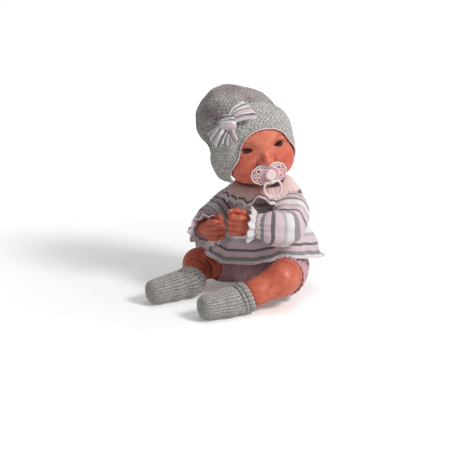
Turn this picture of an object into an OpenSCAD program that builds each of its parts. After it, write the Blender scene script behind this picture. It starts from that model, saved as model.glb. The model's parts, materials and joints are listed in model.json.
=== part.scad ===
// Interactive baby doll, sitting, dressed in a knitted hat, tunic, bloomers and socks.
// Frame: millimetres, +Z up, the doll faces -Y, its left hand is on +X.
// The origin is the middle of the flat seat.

/* [Head] */
// Width of the vinyl head, cheek to cheek
head_w = 96; // [92:1:100]
// Depth of the head, face to nape
head_d = 108; // [104:1:112]
// Height of the head, chin to crown
head_h = 112; // [110:1:116]
// Turn of the face towards the doll's left, degrees
head_turn = 52; // [40:1:60]
// Lean of the crown towards the doll's right, degrees
head_lean = 10; // [0:1:12]
// Forward nod of the face, degrees
head_nod = 2; // [0:1:4]
// Wall of the vinyl head and limbs
vinyl_wall = 2.6; // [2:0.1:3]
// Radius of the glass eyes
eye_r = 8.6; // [8:0.1:8.8]

/* [Hat] */
// Wall of the knitted hat
knit_wall = 2.6; // [2:0.1:2.8]
// Radius of the slouched crown
slouch_r = 44; // [38:1:46]
// Width of the turned-up brim
brim_w = 28; // [22:1:30]

/* [Dummy] */
// Half width of the dummy's shield
shield_r = 21; // [18:0.5:22]
// Radius of the dummy's knob
knob_r = 6.5; // [5.5:0.1:6.5]
// Radius of the dummy's ring, to the middle of its wire
ring_r = 11; // [9:0.5:12]

/* [Body] */
// Half width of the stuffed cloth body
body_r = 52; // [50:1:52]
// Depth of the body as a part of its width
body_flat = 0.78; // [0.74:0.01:0.8]
// Thickness of the cloth of the body
cloth = 1.6; // [1.2:0.1:1.8]
// Width of the voice module
module_w = 50; // [44:1:52]
// Depth of the voice module
module_d = 26; // [24:1:28]
// Height of the voice module
module_h = 58; // [56:1:60]

/* [Clothes] */
// Thickness of the jersey of the tunic
jersey = 2; // [1.4:0.1:2.2]
// Radius of the tunic's collar
collar_r = 45; // [42:1:46]
// Half width of the tunic's hem
hem_r = 64; // [60:1:66]
// Height of the tunic's hem above the seat
hem_z = 60; // [58:1:64]
// Thickness of a sock's knit
sock_wall = 2.4; // [1.6:0.1:2.6]

/* [Hidden] */

$fn = 64;
big = 200;      // side of the blocks that cut shapes open
slip = 0.08;    // radial clearance of a turning fit
gap = 0.4;      // clearance between pieces that don't touch

// Colours
vinyl_c = [0.86, 0.55, 0.44];
grey_knit_c = [0.60, 0.59, 0.58];
pale_knit_c = [0.72, 0.71, 0.70];
pink_c = [0.85, 0.76, 0.79];
stripe_c = [0.80, 0.78, 0.79];
mauve_c = [0.62, 0.48, 0.53];
teat_c = [0.93, 0.75, 0.77];
cloth_c = [0.93, 0.88, 0.82];
plastic_c = [0.88, 0.88, 0.86];

// Neck: centre of its ball, and heights above it along the neck
neck = [-6, -5, 119];
ball_r = 8;
pin_rise = 13;
disc_rise = 18;
rim_rise = 20.9;        // underside of the rim of the head's opening
rim_h = 5;
opening_r = 17;
head_rise = rim_rise + head_h * 0.468;
neck_ring_r = 29;       // inner edge of the collar

// Hips and shoulders: where each limb's disc meets the body
hip = [36, -8, 31];
hip_clear = 31;
hip_disc_r = 13;
hip_stem_r = 5;
shoulder = [45, 0, 100];
shoulder_splay = 30;    // how far the shoulder's axis points forward, degrees
shoulder_clear = 20;
armhole_r = 23.4;       // radius of the tunic's armholes
shoulder_disc_r = 9.5;
shoulder_boss_r = 13.2;   // round flat end of the body under each arm
shoulder_stem_r = 4;
washer_t = 2.4;

// Limbs: the joints from the body outwards; an egg lies along each bone, and goes past its
// joints by "over"
left_arm_path = [[48, -1, 100], [67, -38, 98], [30, -71, 104]];
left_fist = [14, -79, 107];
right_arm_path = [[-48, -1, 100], [-76, -31, 87], [-52, -62, 86]];
right_fist = [-37, -73, 91];
arm_radii = [14.5, 12.5];
arm_over = [13, 9];
fist_r = 12.5;
arm_wall = 3;           // arms are thicker than the legs
left_mouth = [33, -69, 104];    // end of each sleeve
right_mouth = [-54, -59, 87];
sleeve_radii = [17.2, 18.5];
sleeve_over = [16, 12];
left_leg_path = [[44, -10, 31], [62, -58, 35], [40, -102, 19], [20, -146, 16]];
right_leg_path = [[-44, -10, 31], [-70, -64, 31], [-52, -95, 20], [-66, -142, 16]];
leg_radii = [22, 19, 14.4];
leg_over = [16, 16, 10];

// Dummy: height of the mouth below the head's centre, and how far the shield stands off
mouth_z = -27;
shield_y = -head_d / 2 - 5.6;
ring_drop = 8;          // ring's middle below its hinge
hinge_drop = 9;         // ring's hinge below the middle of the knob
hinge_y = shield_y - 6.4;
wire_r = 1.3;

// Voice module
module_at = [0, 4, 66];
case_wall = 1.8;
tunic_flat = body_flat + 0.05;
armhole_depth = 16;     // how far in the tunic's armholes are cut
button_r = 11;
button_rise = 4;
button_len = 25;        // how far the belly pad stands out of the case
button_travel = 2.5;
switch_travel = 4;

// Hat: an egg about an axis that leans back from the face, with its brim around that axis
hat_lean = -57;
hat_rise = 6;           // middle of the egg, along the axis from the head's centre
hat_r = head_w / 2 + 11;
hat_len = head_h / 2 + 14;
brim_edge = -36;        // edge around the face, from the egg's middle
brim_t = 2.8;
bow_turn = -124;        // place of the bow around the hat
bow_height = -5;        // and along its axis
bow_tilt = 102;
bow_lift = 5.8;         // back of the bow above the brim
nape_z = -34;           // hat's lower edge at the back, from the head's centre
slouch_at = [-26, 14, 40];

// ---------------------------------------------------------------- helpers

module egg(size) { scale(size) sphere(r = 1); }

// Points the Z axis from p towards q, with its origin at p
module aim(p, q) {
    d = q - p;
    translate(p) rotate([0, acos(d[2] / norm(d)), atan2(d[1], d[0])]) children();
}

// A limb: an egg along each stretch of the path
module limb(path, radii, over, inset = 0) {
    for (i = [0:len(path) - 2]) {
        half = norm(path[i + 1] - path[i]) / 2;
        aim(path[i], path[i + 1]) translate([0, 0, half])
            egg([radii[i] - inset, radii[i] - inset, half + over[i] - inset]);
    }
}

// Frame of a joint on the doll's side s (+1 left, -1 right): +Z points out of the body
module at_hip(s) {
    translate([s * hip[0], hip[1], hip[2]]) rotate([0, s * 90, 0]) children();
}
module at_shoulder(s) {
    translate([s * shoulder[0], shoulder[1], shoulder[2]])
        rotate([0, 0, -s * shoulder_splay]) rotate([0, s * 90, 0]) children();
}

// Frame of the neck: origin at the ball, +Z up the neck, the face towards -Y
module at_neck() {
    translate(neck) rotate([head_nod, -head_lean, head_turn]) children();
}
module at_head() { at_neck() translate([0, 0, head_rise]) children(); }
module at_mouth() { at_head() translate([0, 0, mouth_z]) rotate([90, 0, 0]) children(); }

// ---------------------------------------------------------------- body

// Half outline of the body, drawn in by inset
function body_outline(inset) = [[0, 3 + inset], [38 - inset, 3 + inset], [body_r - 4 - inset, 11],
    [body_r - inset, 24], [body_r - inset, 56], [body_r - 5 - inset, 84],
    [body_r - 9 - inset, 98], [36 - inset, 108 - inset], [20 - inset, 112 - inset],
    [0, 112 - inset]];

module body_form(inset) {
    difference() {
        union() {
            scale([1, body_flat, 1]) rotate_extrude($fn = 96) polygon(body_outline(inset));
            for (s = [-1, 1]) at_shoulder(s) translate([0, 0, -armhole_depth])
                cylinder(r = shoulder_boss_r - inset, h = armhole_depth - inset);
        }
        for (s = [-1, 1]) {
            at_hip(s) translate([0, 0, -inset]) cylinder(r = hip_clear + inset, h = big);
            at_shoulder(s) translate([0, 0, -inset])
                cylinder(r = shoulder_clear + inset, h = big);
        }
    }
}

module joint_holes(extra) {
    for (s = [-1, 1]) {
        at_hip(s) translate([0, 0, -20]) cylinder(r = hip_stem_r + extra, h = 40);
        at_shoulder(s) translate([0, 0, -20]) cylinder(r = shoulder_stem_r + extra, h = 40);
    }
}

module body_cloth() {
    color(cloth_c) difference() {
        body_form(0);
        body_form(cloth);
        joint_holes(0.6);
        translate([neck[0], neck[1], 100]) cylinder(r = 12.5, h = 30);
        translate([0, 40, module_at[2]]) cube([module_w - 6, 50, module_h - 8], center = true);
    }
}

module body_stuffing() {
    color("white") difference() {
        body_form(cloth + gap);
        translate(module_at) cube([module_w, module_d, module_h] + 2 * gap * [1, 1, 1], center = true);
        translate([module_at[0], 0, module_at[2] + button_rise]) rotate([90, 0, 0])
            cylinder(r = button_r + 2, h = 60);
        translate([0, 40, module_at[2]])
            cube([module_w - 6, 80, module_h - 8], center = true);
        for (s = [-1, 1]) {
            at_hip(s) translate([0, 0, -14]) cylinder(r = hip_disc_r + 1, h = 30);
            at_shoulder(s) translate([0, 0, -12]) cylinder(r = shoulder_disc_r + 1, h = 30);
        }
        translate([neck[0], neck[1], 90]) cylinder(r = 15, h = 60);
    }
}

// Washers that the limbs' stems turn in, inside the cloth
module washers(r, bore) {
    translate([0, 0, -cloth - gap - washer_t]) difference() {
        cylinder(r = r, h = washer_t);
        translate([0, 0, -1]) cylinder(r = bore, h = washer_t + 2);
    }
}

module hip_washers() {
    color(plastic_c) for (s = [-1, 1])
        at_hip(s) washers(hip_disc_r, hip_stem_r + slip);
}

module shoulder_washers() {
    color(plastic_c) for (s = [-1, 1])
        at_shoulder(s) washers(shoulder_disc_r, shoulder_stem_r + slip);
}

// Disc in a limb's open end, with a stem through the body's cloth and a snap head
module limb_disc(disc_r, stem_r) {
    head_z = -cloth - 2 * gap - washer_t - 2;
    translate([0, 0, 1]) cylinder(r = disc_r, h = 3);
    translate([0, 0, head_z]) cylinder(r = stem_r, h = 2 - head_z);
    translate([0, 0, head_z - 0.5]) cylinder(r = stem_r + 1.8, h = 2.5 - gap / 2);
}

module left_hip_disc() { color(plastic_c) at_hip(1) limb_disc(hip_disc_r, hip_stem_r); }
module right_hip_disc() { color(plastic_c) at_hip(-1) limb_disc(hip_disc_r, hip_stem_r); }
module left_shoulder_disc() {
    color(plastic_c) at_shoulder(1) limb_disc(shoulder_disc_r, shoulder_stem_r);
}
module right_shoulder_disc() {
    color(plastic_c) at_shoulder(-1) limb_disc(shoulder_disc_r, shoulder_stem_r);
}

// ---------------------------------------------------------------- voice module

module rounded_block(size, r) {
    linear_extrude(size[2], center = true) {
        square([size[0] - 2 * r, size[1]], center = true);
        square([size[0], size[1] - 2 * r], center = true);
        for (x = [-1, 1], y = [-1, 1])
            translate([x * (size[0] / 2 - r), y * (size[1] / 2 - r)]) circle(r = r);
    }
}

// Half of the case: s = -1 is the front half, s = 1 the back half
module case_half(s) {
    half_d = module_d / 2 - gap / 2;
    difference() {
        translate([0, s * (half_d / 2 + gap / 2), 0])
            rounded_block([module_w, half_d, module_h], 2);
        translate([0, s * (half_d / 2 + gap / 2 - case_wall), 0])
            cube([module_w - 2 * case_wall, half_d, module_h - 2 * case_wall], center = true);
    }
}

module case_posts(r, y0, h) {
    for (x = [-1, 1], z = [-1, 1])
        translate([x * (module_w / 2 - 6), y0, z * (module_h / 2 - 6)])
            rotate([-90, 0, 0]) cylinder(r = r, h = h);
}

module voice_case_front() {
    color(plastic_c) translate(module_at) difference() {
        union() {
            case_half(-1);
            case_posts(3, -module_d / 2 + 1, module_d / 2 - 1 - gap / 2);
        }
        case_posts(1.3, -module_d / 2 + 3, module_d);
        translate([0, 0, button_rise]) rotate([90, 0, 0])
            cylinder(r = button_r + slip, h = big);
        translate([neck[0], 0, 0]) cylinder(r = 1.8, h = big);
        for (x = [-2:2])
            translate([x * 5, 0, -20]) rotate([90, 0, 0]) cylinder(r = 1.2, h = big);
    }
}

module voice_case_back() {
    color(plastic_c) translate(module_at) difference() {
        union() {
            case_half(1);
            case_posts(3, gap / 2, module_d / 2 - 1 - gap / 2);
        }
        case_posts(1.6, -1, module_d);
        case_posts(2.7, module_d / 2 - 2.5, 5);
        translate([0, module_d / 2, -6]) cube([32.6, 10, 30.6], center = true);
        translate([0, module_d / 2, 17]) cube([switch_travel + 5, 10, 4.4], center = true);
        translate([neck[0], 0, 0]) cylinder(r = 1.8, h = big);
    }
}

module battery_door() {
    color("gainsboro") translate(module_at + [0, module_d / 2 - case_wall / 2, -6])
        difference() {
            cube([32, case_wall, 30], center = true);
            translate([0, 0, 12]) rotate([90, 0, 0])
                cylinder(r = 1.5, h = 10, center = true);
        }
}

// Flat-headed screw along +Y, its head's top at the origin
module screw(shank_r, length, head_r) {
    rotate([90, 0, 0]) difference() {
        union() {
            cylinder(r = head_r, h = 1.2);
            cylinder(r = shank_r, h = length);
        }
        translate([0, 0, 0.3]) cube([head_r * 1.6, 0.6, 0.7], center = true);
    }
}

module battery_door_screw() {
    color("silver") translate(module_at + [0, module_d / 2 + 1.2, 6]) screw(1.4, 5.5, 2.4);
}

module case_screws() {
    color("silver") for (x = [-1, 1], z = [-1, 1])
        translate(module_at + [x * (module_w / 2 - 6), module_d / 2 - 1.2,
                               z * (module_h / 2 - 6)]) screw(1.2, 18, 2.4);
}

module batteries() {
    color("goldenrod") for (i = [-1:1])
        translate(module_at + [i * 9.4, 6.4, -24]) {
            cylinder(r = 4.3, h = 26);
            translate([0, 0, 25.5]) cylinder(r = 1.6, h = 1.3);
        }
}

module battery_contacts() {
    color("silver") for (i = [-1:1])
        translate(module_at + [i * 9.4, 6.4, 0]) {
            translate([0, 0, 3.7]) cube([7, 5, 0.5], center = true);
            translate([0, 0, -24.4]) cube([7, 5, 0.5], center = true);
        }
}

module circuit_board() {
    color("darkgreen") translate(module_at + [0, 0.6, 0]) {
        translate([0, -0.8, 5]) cube([31.4, 1.2, 38], center = true);
        translate([8, 0.4, 15]) cube([8, 1.4, 8], center = true);
        translate([-8, 0.4, 15]) cube([5, 1.4, 9], center = true);
    }
}

module speaker() {
    color([0.2, 0.2, 0.22]) translate(module_at + [0, -module_d / 2 + case_wall + 0.3, -20])
        rotate([-90, 0, 0]) {
            cylinder(r = 6.5, h = 2);
            translate([0, 0, 1.5]) cylinder(r = 4.5, h = 3.5);
        }
}

module belly_button() {
    color("ivory") translate(module_at + [0, -module_d / 2, button_rise]) rotate([90, 0, 0]) {
        translate([0, 0, -2.4]) cylinder(r = button_r, h = button_len + 2.4);
        translate([0, 0, -3]) cylinder(r = button_r + 2, h = 1);
        translate([0, 0, -3]) cylinder(r = 3, h = 3);
    }
}

module belly_spring() {
    color("silver") translate(module_at + [0, -module_d / 2 + 3.2, button_rise]) rotate([-90, 0, 0])
        for (i = [0:2]) translate([0, 0, 0.6 + i * 1.6])
            rotate_extrude() translate([5.5, 0]) circle(r = 0.5);
}

module power_switch() {
    color("dimgray") translate(module_at + [-switch_travel / 2, module_d / 2, 17]) {
        cube([4, 4, 3.6], center = true);
        translate([0, -3, 0]) cube([10, 1.4, 6], center = true);
    }
}

module neck_cable() {
    bottom = module_at[2] + module_h / 2 - 3;
    color("dimgray") translate([neck[0], module_at[1], bottom])
        cylinder(r = 1.4, h = 11);
}

// ---------------------------------------------------------------- neck

module neck_base() {
    cup_r = ball_r + 2.6;
    color(plastic_c) translate(neck) difference() {
        union() {
            translate([0, 0, -8]) cylinder(r = cup_r, h = 11);
            translate([0, 0, -13.5]) cylinder(r = 14, h = 3);
            translate([0, 0, -12]) cylinder(r = 10, h = 5);
            translate([0, 0, -2.5]) cylinder(r = cup_r + 1.4, h = 2);
        }
        sphere(r = ball_r + slip);
        translate([0, 0, -20]) cylinder(r = 3, h = 20);
        translate([0, 0, 1]) cylinder(r1 = 7, r2 = 11, h = 4);
    }
}

module neck_tie() {
    color("white") translate(neck + [0, 0, -5]) rotate_extrude()
        translate([ball_r + 4.4, 0]) square([1.6, 3], center = true);
}

module neck_yoke() {
    color(plastic_c) at_neck() difference() {
        union() {
            sphere(r = ball_r);
            for (s = [-1, 1]) translate([s * 5.2, 0, 0]) {
                translate([0, 0, 9.5]) cube([3.4, 8, 7], center = true);
                translate([-1.7, 0, pin_rise]) rotate([0, 90, 0]) cylinder(r = 4, h = 3.4);
                translate([-s * 2.6, 0, 7]) cube([5.2, 6, 2.4], center = true);
            }
        }
        translate([0, 0, pin_rise]) rotate([0, 90, 0])
            cylinder(r = 2, h = 20, center = true);
        translate([0, 0, -20]) cylinder(r = 2.4, h = 40);
    }
}

module neck_pin() {
    color("silver") at_neck() translate([0, 0, pin_rise]) rotate([0, 90, 0])
        cylinder(r = 2, h = 15, center = true);
}

module neck_disc() {
    color(plastic_c) at_neck() difference() {
        union() {
            translate([0, 0, disc_rise]) cylinder(r = opening_r + 2, h = 2.6);
            translate([0, 0, disc_rise]) cylinder(r = opening_r - slip, h = rim_h + 4);
            translate([0, 0, rim_rise + rim_h + 0.3]) cylinder(r = opening_r + 2.6, h = 2.4);
            translate([0, 0, pin_rise + 3]) cube([6, 8, 6], center = true);
            translate([-3, 0, pin_rise]) rotate([0, 90, 0]) cylinder(r = 4, h = 6);
        }
        translate([0, 0, pin_rise]) rotate([0, 90, 0])
            cylinder(r = 2 + slip, h = 20, center = true);
        translate([0, 0, disc_rise + 2.6]) cylinder(r = 1.7, h = 40);
    }
}

// ---------------------------------------------------------------- head

module head_form(inset) {
    egg([head_w / 2 - inset, head_d / 2 - inset, head_h / 2 - inset]);
    for (s = [-1, 1]) translate([s * 23, -28, -20]) sphere(r = 21 - inset);
    translate([0, -35, -34]) sphere(r = 15 - inset);
}

module head() {
    color(vinyl_c) at_head() difference() {
        union() {
            difference() {
                union() {
                    head_form(0);
                    translate([0, -head_d / 2 + 1, -13]) sphere(r = 5.5);
                    for (s = [-1, 1])
                        translate([s * (head_w / 2 - 3), 4, -6]) egg([4, 8, 12]);
                }
                head_form(vinyl_wall);
            }
            translate([0, 0, rim_rise - head_rise]) cylinder(r = opening_r + 5, h = rim_h);
        }
        translate([0, 0, rim_rise - head_rise - 10]) cylinder(r = opening_r, h = 40);
        translate([0, 0, rim_rise - head_rise - 10]) cylinder(r = opening_r + 8, h = 10);
        for (s = [-1, 1]) translate([s * 20.5, -head_d / 2 + 14.5, 4]) {
            sphere(r = eye_r + gap);
            rotate([90, 0, 0]) cylinder(r = 6, h = 20);
        }
        translate([0, 0, mouth_z]) rotate([90, 0, 0]) cylinder(r = 6, h = 80);
    }
}

module eye(s) { at_head() translate([s * 20.5, -head_d / 2 + 14.5, 4]) sphere(r = eye_r); }
module left_eye() { color("saddlebrown") eye(1); }
module right_eye() { color("saddlebrown") eye(-1); }

// Rubber cup behind the lips that takes the dummy's teat
module mouth_socket() {
    color("indianred") at_mouth() translate([0, 0, head_d / 2 - 18]) difference() {
        union() {
            cylinder(r = 5.7, h = 16);
            cylinder(r = 8, h = 6);
        }
        translate([0, 0, 2]) cylinder(r = 4.6, h = 20);
    }
}

module dummy_sensor() {
    color("darkgreen") at_mouth() translate([0, 0, head_d / 2 - 21])
        cylinder(r = 5, h = 2.6);
}

module head_cable() {
    color("dimgray") at_neck() translate([0, 0, disc_rise + 3])
        cylinder(r = 1.4, h = 28);
}

// ---------------------------------------------------------------- dummy

module dummy_shield() {
    color(teat_c) at_mouth() difference() {
        translate([0, 0, -shield_y - 2]) scale([1, 0.72, 1]) cylinder(r = shield_r, h = 2.2, $fn = 128);
        for (s = [-1, 1]) translate([s * shield_r * 0.6, 0, 0]) cylinder(r = 2.4, h = big);
        translate([0, shield_r * 0.95, 0]) cylinder(r = 9, h = big);
    }
}

module dummy_teat() {
    color("mistyrose") at_mouth() difference() {
        translate([0, 0, head_d / 2 - 14]) cylinder(r = 4.2, h = -shield_y - head_d / 2 + 12 - 0.2);
        translate([0, 0, head_d / 2 - 15]) cylinder(r = 3.2, h = 5);
    }
}

module dummy_magnet() {
    color("silver") at_mouth() translate([0, 0, head_d / 2 - 13.6]) cylinder(r = 3, h = 3);
}

module dummy_knob() {
    color(teat_c) at_mouth() difference() {
        union() {
            translate([0, 0, -shield_y + 0.4]) cylinder(r = 4, h = 4);
            translate([0, 0, -hinge_y - 2]) cylinder(r = knob_r, h = 4);
            translate([0, -knob_r, -hinge_y]) cube([4.4, 4, 4], center = true);
            translate([-2.2, -hinge_drop, -hinge_y]) rotate([0, 90, 0]) cylinder(r = 2.4, h = 4.4);
        }
        translate([0, -hinge_drop, -hinge_y]) rotate([0, 90, 0])
            cylinder(r = wire_r + slip, h = 20, center = true);
    }
}

module dummy_ring() {
    cut = asin(ring_drop / ring_r);
    half_bar = ring_r * cos(cut);
    color(teat_c) at_mouth() translate([0, -hinge_drop, -hinge_y]) {
        rotate([0, 90, 0]) cylinder(r = wire_r, h = 2 * half_bar, center = true);
        translate([0, -ring_drop, 0]) rotate([0, 0, 180 - cut])
            rotate_extrude(angle = 180 + 2 * cut) translate([ring_r, 0]) circle(r = wire_r);
    }
}

// ---------------------------------------------------------------- hat

// Frame of the hat: origin in the middle of its egg, +Z away from the face
module at_hat() { at_head() rotate([hat_lean, 0, 0]) translate([0, 0, hat_rise]) children(); }

module hat_form(inset) { egg([hat_r - inset, hat_r - inset, hat_len - inset]); }

// Bag of the crown that slouches over the doll's right ear, in the hat's frame
module slouch_form(inset) {
    translate([0, 0, -hat_rise]) rotate([-hat_lean, 0, 0]) translate(slouch_at)
        egg([slouch_r - inset, slouch_r - inset, slouch_r * 0.86 - inset]);
}

// What lies below the hat's edge at the nape, in the hat's frame
module below_nape() {
    translate([0, 0, -hat_rise]) rotate([-hat_lean, 0, 0]) below(nape_z);
}

module below(height) { translate([-big, -big, height - big]) cube([2 * big, 2 * big, big]); }

module hat_crown() {
    fold = brim_edge + brim_w + 3;
    color(grey_knit_c) at_hat() difference() {
        union() {
            difference() {
                hat_form(0);
                below(brim_edge + 2);
            }
            difference() {
                slouch_form(0);
                below(fold);
            }
        }
        hat_form(knit_wall);
        below_nape();
        difference() {
            slouch_form(knit_wall);
            below(fold + knit_wall);
        }
    }
}

// Half width of the egg, grown by extra, at a height along its axis
function hat_width(extra, h) = (hat_r + extra) * sqrt(1 - pow(h / (hat_len + extra), 2));

module hat_brim() {
    steps = [0:8];
    function level(i) = brim_edge + brim_w * i / 8;
    inner = [for (i = steps) [hat_width(gap + 0.2, level(i)), level(i)]];
    outer = [for (i = steps) [hat_width(gap + brim_t, level(8 - i)), level(8 - i)]];
    color(pale_knit_c) at_hat() difference() {
        rotate_extrude() polygon(concat(inner, outer));
        below_nape();
    }
}

// Frame of the bow: on the right front of the hat, +Z away from the head
module at_bow() {
    at_hat() rotate([0, 0, bow_turn])
        translate([hat_width(gap + brim_t, brim_edge + brim_w) + bow_lift, 0, bow_height])
            rotate([0, 90, 0]) rotate([0, 0, bow_tilt]) children();
}

module bow_loops() {
    color(pink_c) at_bow() for (s = [-1, 1]) translate([s * 14.8, 0, 4.4]) egg([12, 8, 4]);
}

module bow_knot() { color(stripe_c) at_bow() translate([0, 0, 4.4]) egg([2.6, 7, 4.4]); }

module bow_tails() {
    color(stripe_c) at_bow() for (s = [-1, 1]) rotate([0, 0, s * 16])
        translate([0, -5.5, 0.2]) linear_extrude(1.2)
            polygon([[-1.5, 0], [1.5, 0], [4, -17], [-4, -17]]);
}

// ---------------------------------------------------------------- limbs

module arm(s, path, fist) {
    difference() {
        union() {
            limb(path, arm_radii, arm_over);
            translate(fist) sphere(r = fist_r);
            for (i = [0:3]) translate(fist + [-s * 9, -6, 8 - i * 5.5]) sphere(r = 4.4);
        }
        limb(path, arm_radii, arm_over, arm_wall);
        at_shoulder(s) translate([0, 0, 0.6 - 50]) cylinder(r = 30, h = 50);
        at_shoulder(s) cylinder(r = shoulder_disc_r + gap, h = 5);
    }
}
module left_arm() { color(vinyl_c) arm(1, left_arm_path, left_fist); }
module right_arm() { color(vinyl_c) arm(-1, right_arm_path, right_fist); }

module leg(s, path) {
    difference() {
        limb(path, leg_radii, leg_over);
        limb(path, leg_radii, leg_over, vinyl_wall);
        at_hip(s) translate([0, 0, 0.6 - 50]) cylinder(r = 42, h = 50);
        at_hip(s) cylinder(r = hip_disc_r + gap, h = 5);
    }
}
module left_leg() { color(vinyl_c) leg(1, left_leg_path); }
module right_leg() { color(vinyl_c) leg(-1, right_leg_path); }

// ---------------------------------------------------------------- clothes

tunic_outline = [[neck_ring_r + 1, 112], [38, 110.5], [body_r - 6.5, 98],
                 [body_r - 2, 84], [hem_r, hem_z]];

// Half width of the tunic at a height
function tunic_r(z) = lookup(z, [for (i = [len(tunic_outline) - 1:-1:0])
    [tunic_outline[i][1], tunic_outline[i][0] + jersey]]);

module tunic() {
    outer = [for (p = tunic_outline) p + [jersey, 0.4]];
    inner = [for (i = [len(tunic_outline) - 1:-1:0]) tunic_outline[i] + [0.2, 0]];
    color(stripe_c) difference() {
        scale([1, tunic_flat, 1]) rotate_extrude($fn = 96) polygon(concat(outer, inner));
        for (s = [-1, 1]) at_shoulder(s) translate([0, 0, -armhole_depth])
            cylinder(r = armhole_r, h = big);
    }
}

module collar() {
    color(pink_c) translate([neck[0], neck[1], 0]) rotate_extrude()
        polygon([[neck_ring_r - 2, 113.6], [neck_ring_r, 113.6], [neck_ring_r, 128],
                 [collar_r - 1, 122], [collar_r, 124], [neck_ring_r - 1, 132],
                 [neck_ring_r - 2, 131]]);
}

module sleeve(s, path, mouth) {
    bones = [path[0], path[1], mouth];
    color(stripe_c) difference() {
        limb(bones, sleeve_radii, sleeve_over);
        limb(bones, sleeve_radii, sleeve_over, jersey);
        at_shoulder(s) translate([0, 0, 1 - 50]) cylinder(r = 30, h = 50);
        aim(mouth, 2 * mouth - path[1]) cylinder(r = 25, h = 30);
    }
}
module left_sleeve() { sleeve(1, left_arm_path, left_mouth); }
module right_sleeve() { sleeve(-1, right_arm_path, right_mouth); }

// Frilled cuff: a short flaring funnel beyond the sleeve's gathered end
module cuff(path, mouth) {
    color("white") aim(mouth, 2 * mouth - path[1]) translate([0, 0, 0.4]) difference() {
        cylinder(r1 = 13, r2 = 20, h = 8);
        translate([0, 0, -0.1]) cylinder(r1 = 13 - jersey, r2 = 20 - jersey, h = 8.2);
    }
}
module left_cuff() { cuff(left_arm_path, left_mouth); }
module right_cuff() { cuff(right_arm_path, right_mouth); }

module tunic_buttons() {
    color("white") for (i = [0:2])
        translate([0, tunic_flat * tunic_r(94 - 10 * i) + 0.4, 98 - 10 * i])
            rotate([-90, 0, 0]) cylinder(r = 4, h = 1.6);
}

bloomer_outline = [[0, -1], [37, -1], [body_r, 9], [body_r + 3, 24], [body_r + 3, 62]];

module bloomers() {
    inner = [[body_r + 0.4, 62], [body_r + 0.4, 24.4], [body_r - 3, 11], [38, 2.6], [0, 2.6]];
    color(mauve_c) difference() {
        scale([1, body_flat, 1]) rotate_extrude() polygon(concat(bloomer_outline, inner));
        for (s = [-1, 1]) at_hip(s) translate([0, 0, -5])
            cylinder(r = hip_clear + 0.5, h = big);
        below(0);
    }
}

// Puffed leg of the bloomers: half an egg around the hip, open where the thigh comes out
module bloomer_leg(s, path) {
    puff = hip_clear - 2;
    color(mauve_c) difference() {
        translate([s * (hip[0] + 0.8), hip[1], hip[2]]) egg([puff * 0.78, puff, puff]);
        translate([s * (hip[0] + 0.8), hip[1], hip[2]])
            egg([puff * 0.78 - 2, puff - 2, puff - 2]);
        at_hip(s) translate([0, 0, 0.8 - 50]) cylinder(r = 60, h = 50);
        limb(path, leg_radii, leg_over, -gap);
    }
}
module left_bloomer_leg() { bloomer_leg(1, left_leg_path); }
module right_bloomer_leg() { bloomer_leg(-1, right_leg_path); }

module sock(path) {
    ankle = path[2];
    grow = gap + sock_wall;
    cuff_r = leg_radii[1] - 4 + grow;
    color(grey_knit_c) difference() {
        union() {
            limb([ankle, path[3]], [leg_radii[2]], [leg_over[2]], -grow);
            aim(ankle, path[1]) translate([0, 0, -9]) {
                cylinder(r = cuff_r, h = 9);
                for (i = [0:1]) translate([0, 0, 1 + 4.2 * i]) cylinder(r = cuff_r + 0.9, h = 3);
            }
        }
        limb(path, leg_radii, leg_over, -gap);
    }
}
module left_sock() { sock(left_leg_path); }
module right_sock() { sock(right_leg_path); }

body_cloth();
body_stuffing();
voice_case_front();
voice_case_back();
battery_door();
battery_door_screw();
case_screws();
batteries();
battery_contacts();
circuit_board();
speaker();
belly_button();
belly_spring();
power_switch();
neck_cable();
neck_base();
neck_tie();
neck_yoke();
neck_pin();
neck_disc();
head();
left_eye();
right_eye();
mouth_socket();
dummy_sensor();
head_cable();
dummy_shield();
dummy_knob();
dummy_teat();
dummy_magnet();
dummy_ring();
hat_crown();
hat_brim();
bow_loops();
bow_knot();
bow_tails();
shoulder_washers();
left_shoulder_disc();
right_shoulder_disc();
left_arm();
right_arm();
hip_washers();
left_hip_disc();
right_hip_disc();
left_leg();
right_leg();
tunic();
collar();
left_sleeve();
right_sleeve();
left_cuff();
right_cuff();
tunic_buttons();
bloomers();
left_bloomer_leg();
right_bloomer_leg();
left_sock();
right_sock();
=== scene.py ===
import itertools
import json
import math

import bpy
import numpy as np
from mathutils import Matrix, Vector


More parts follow.
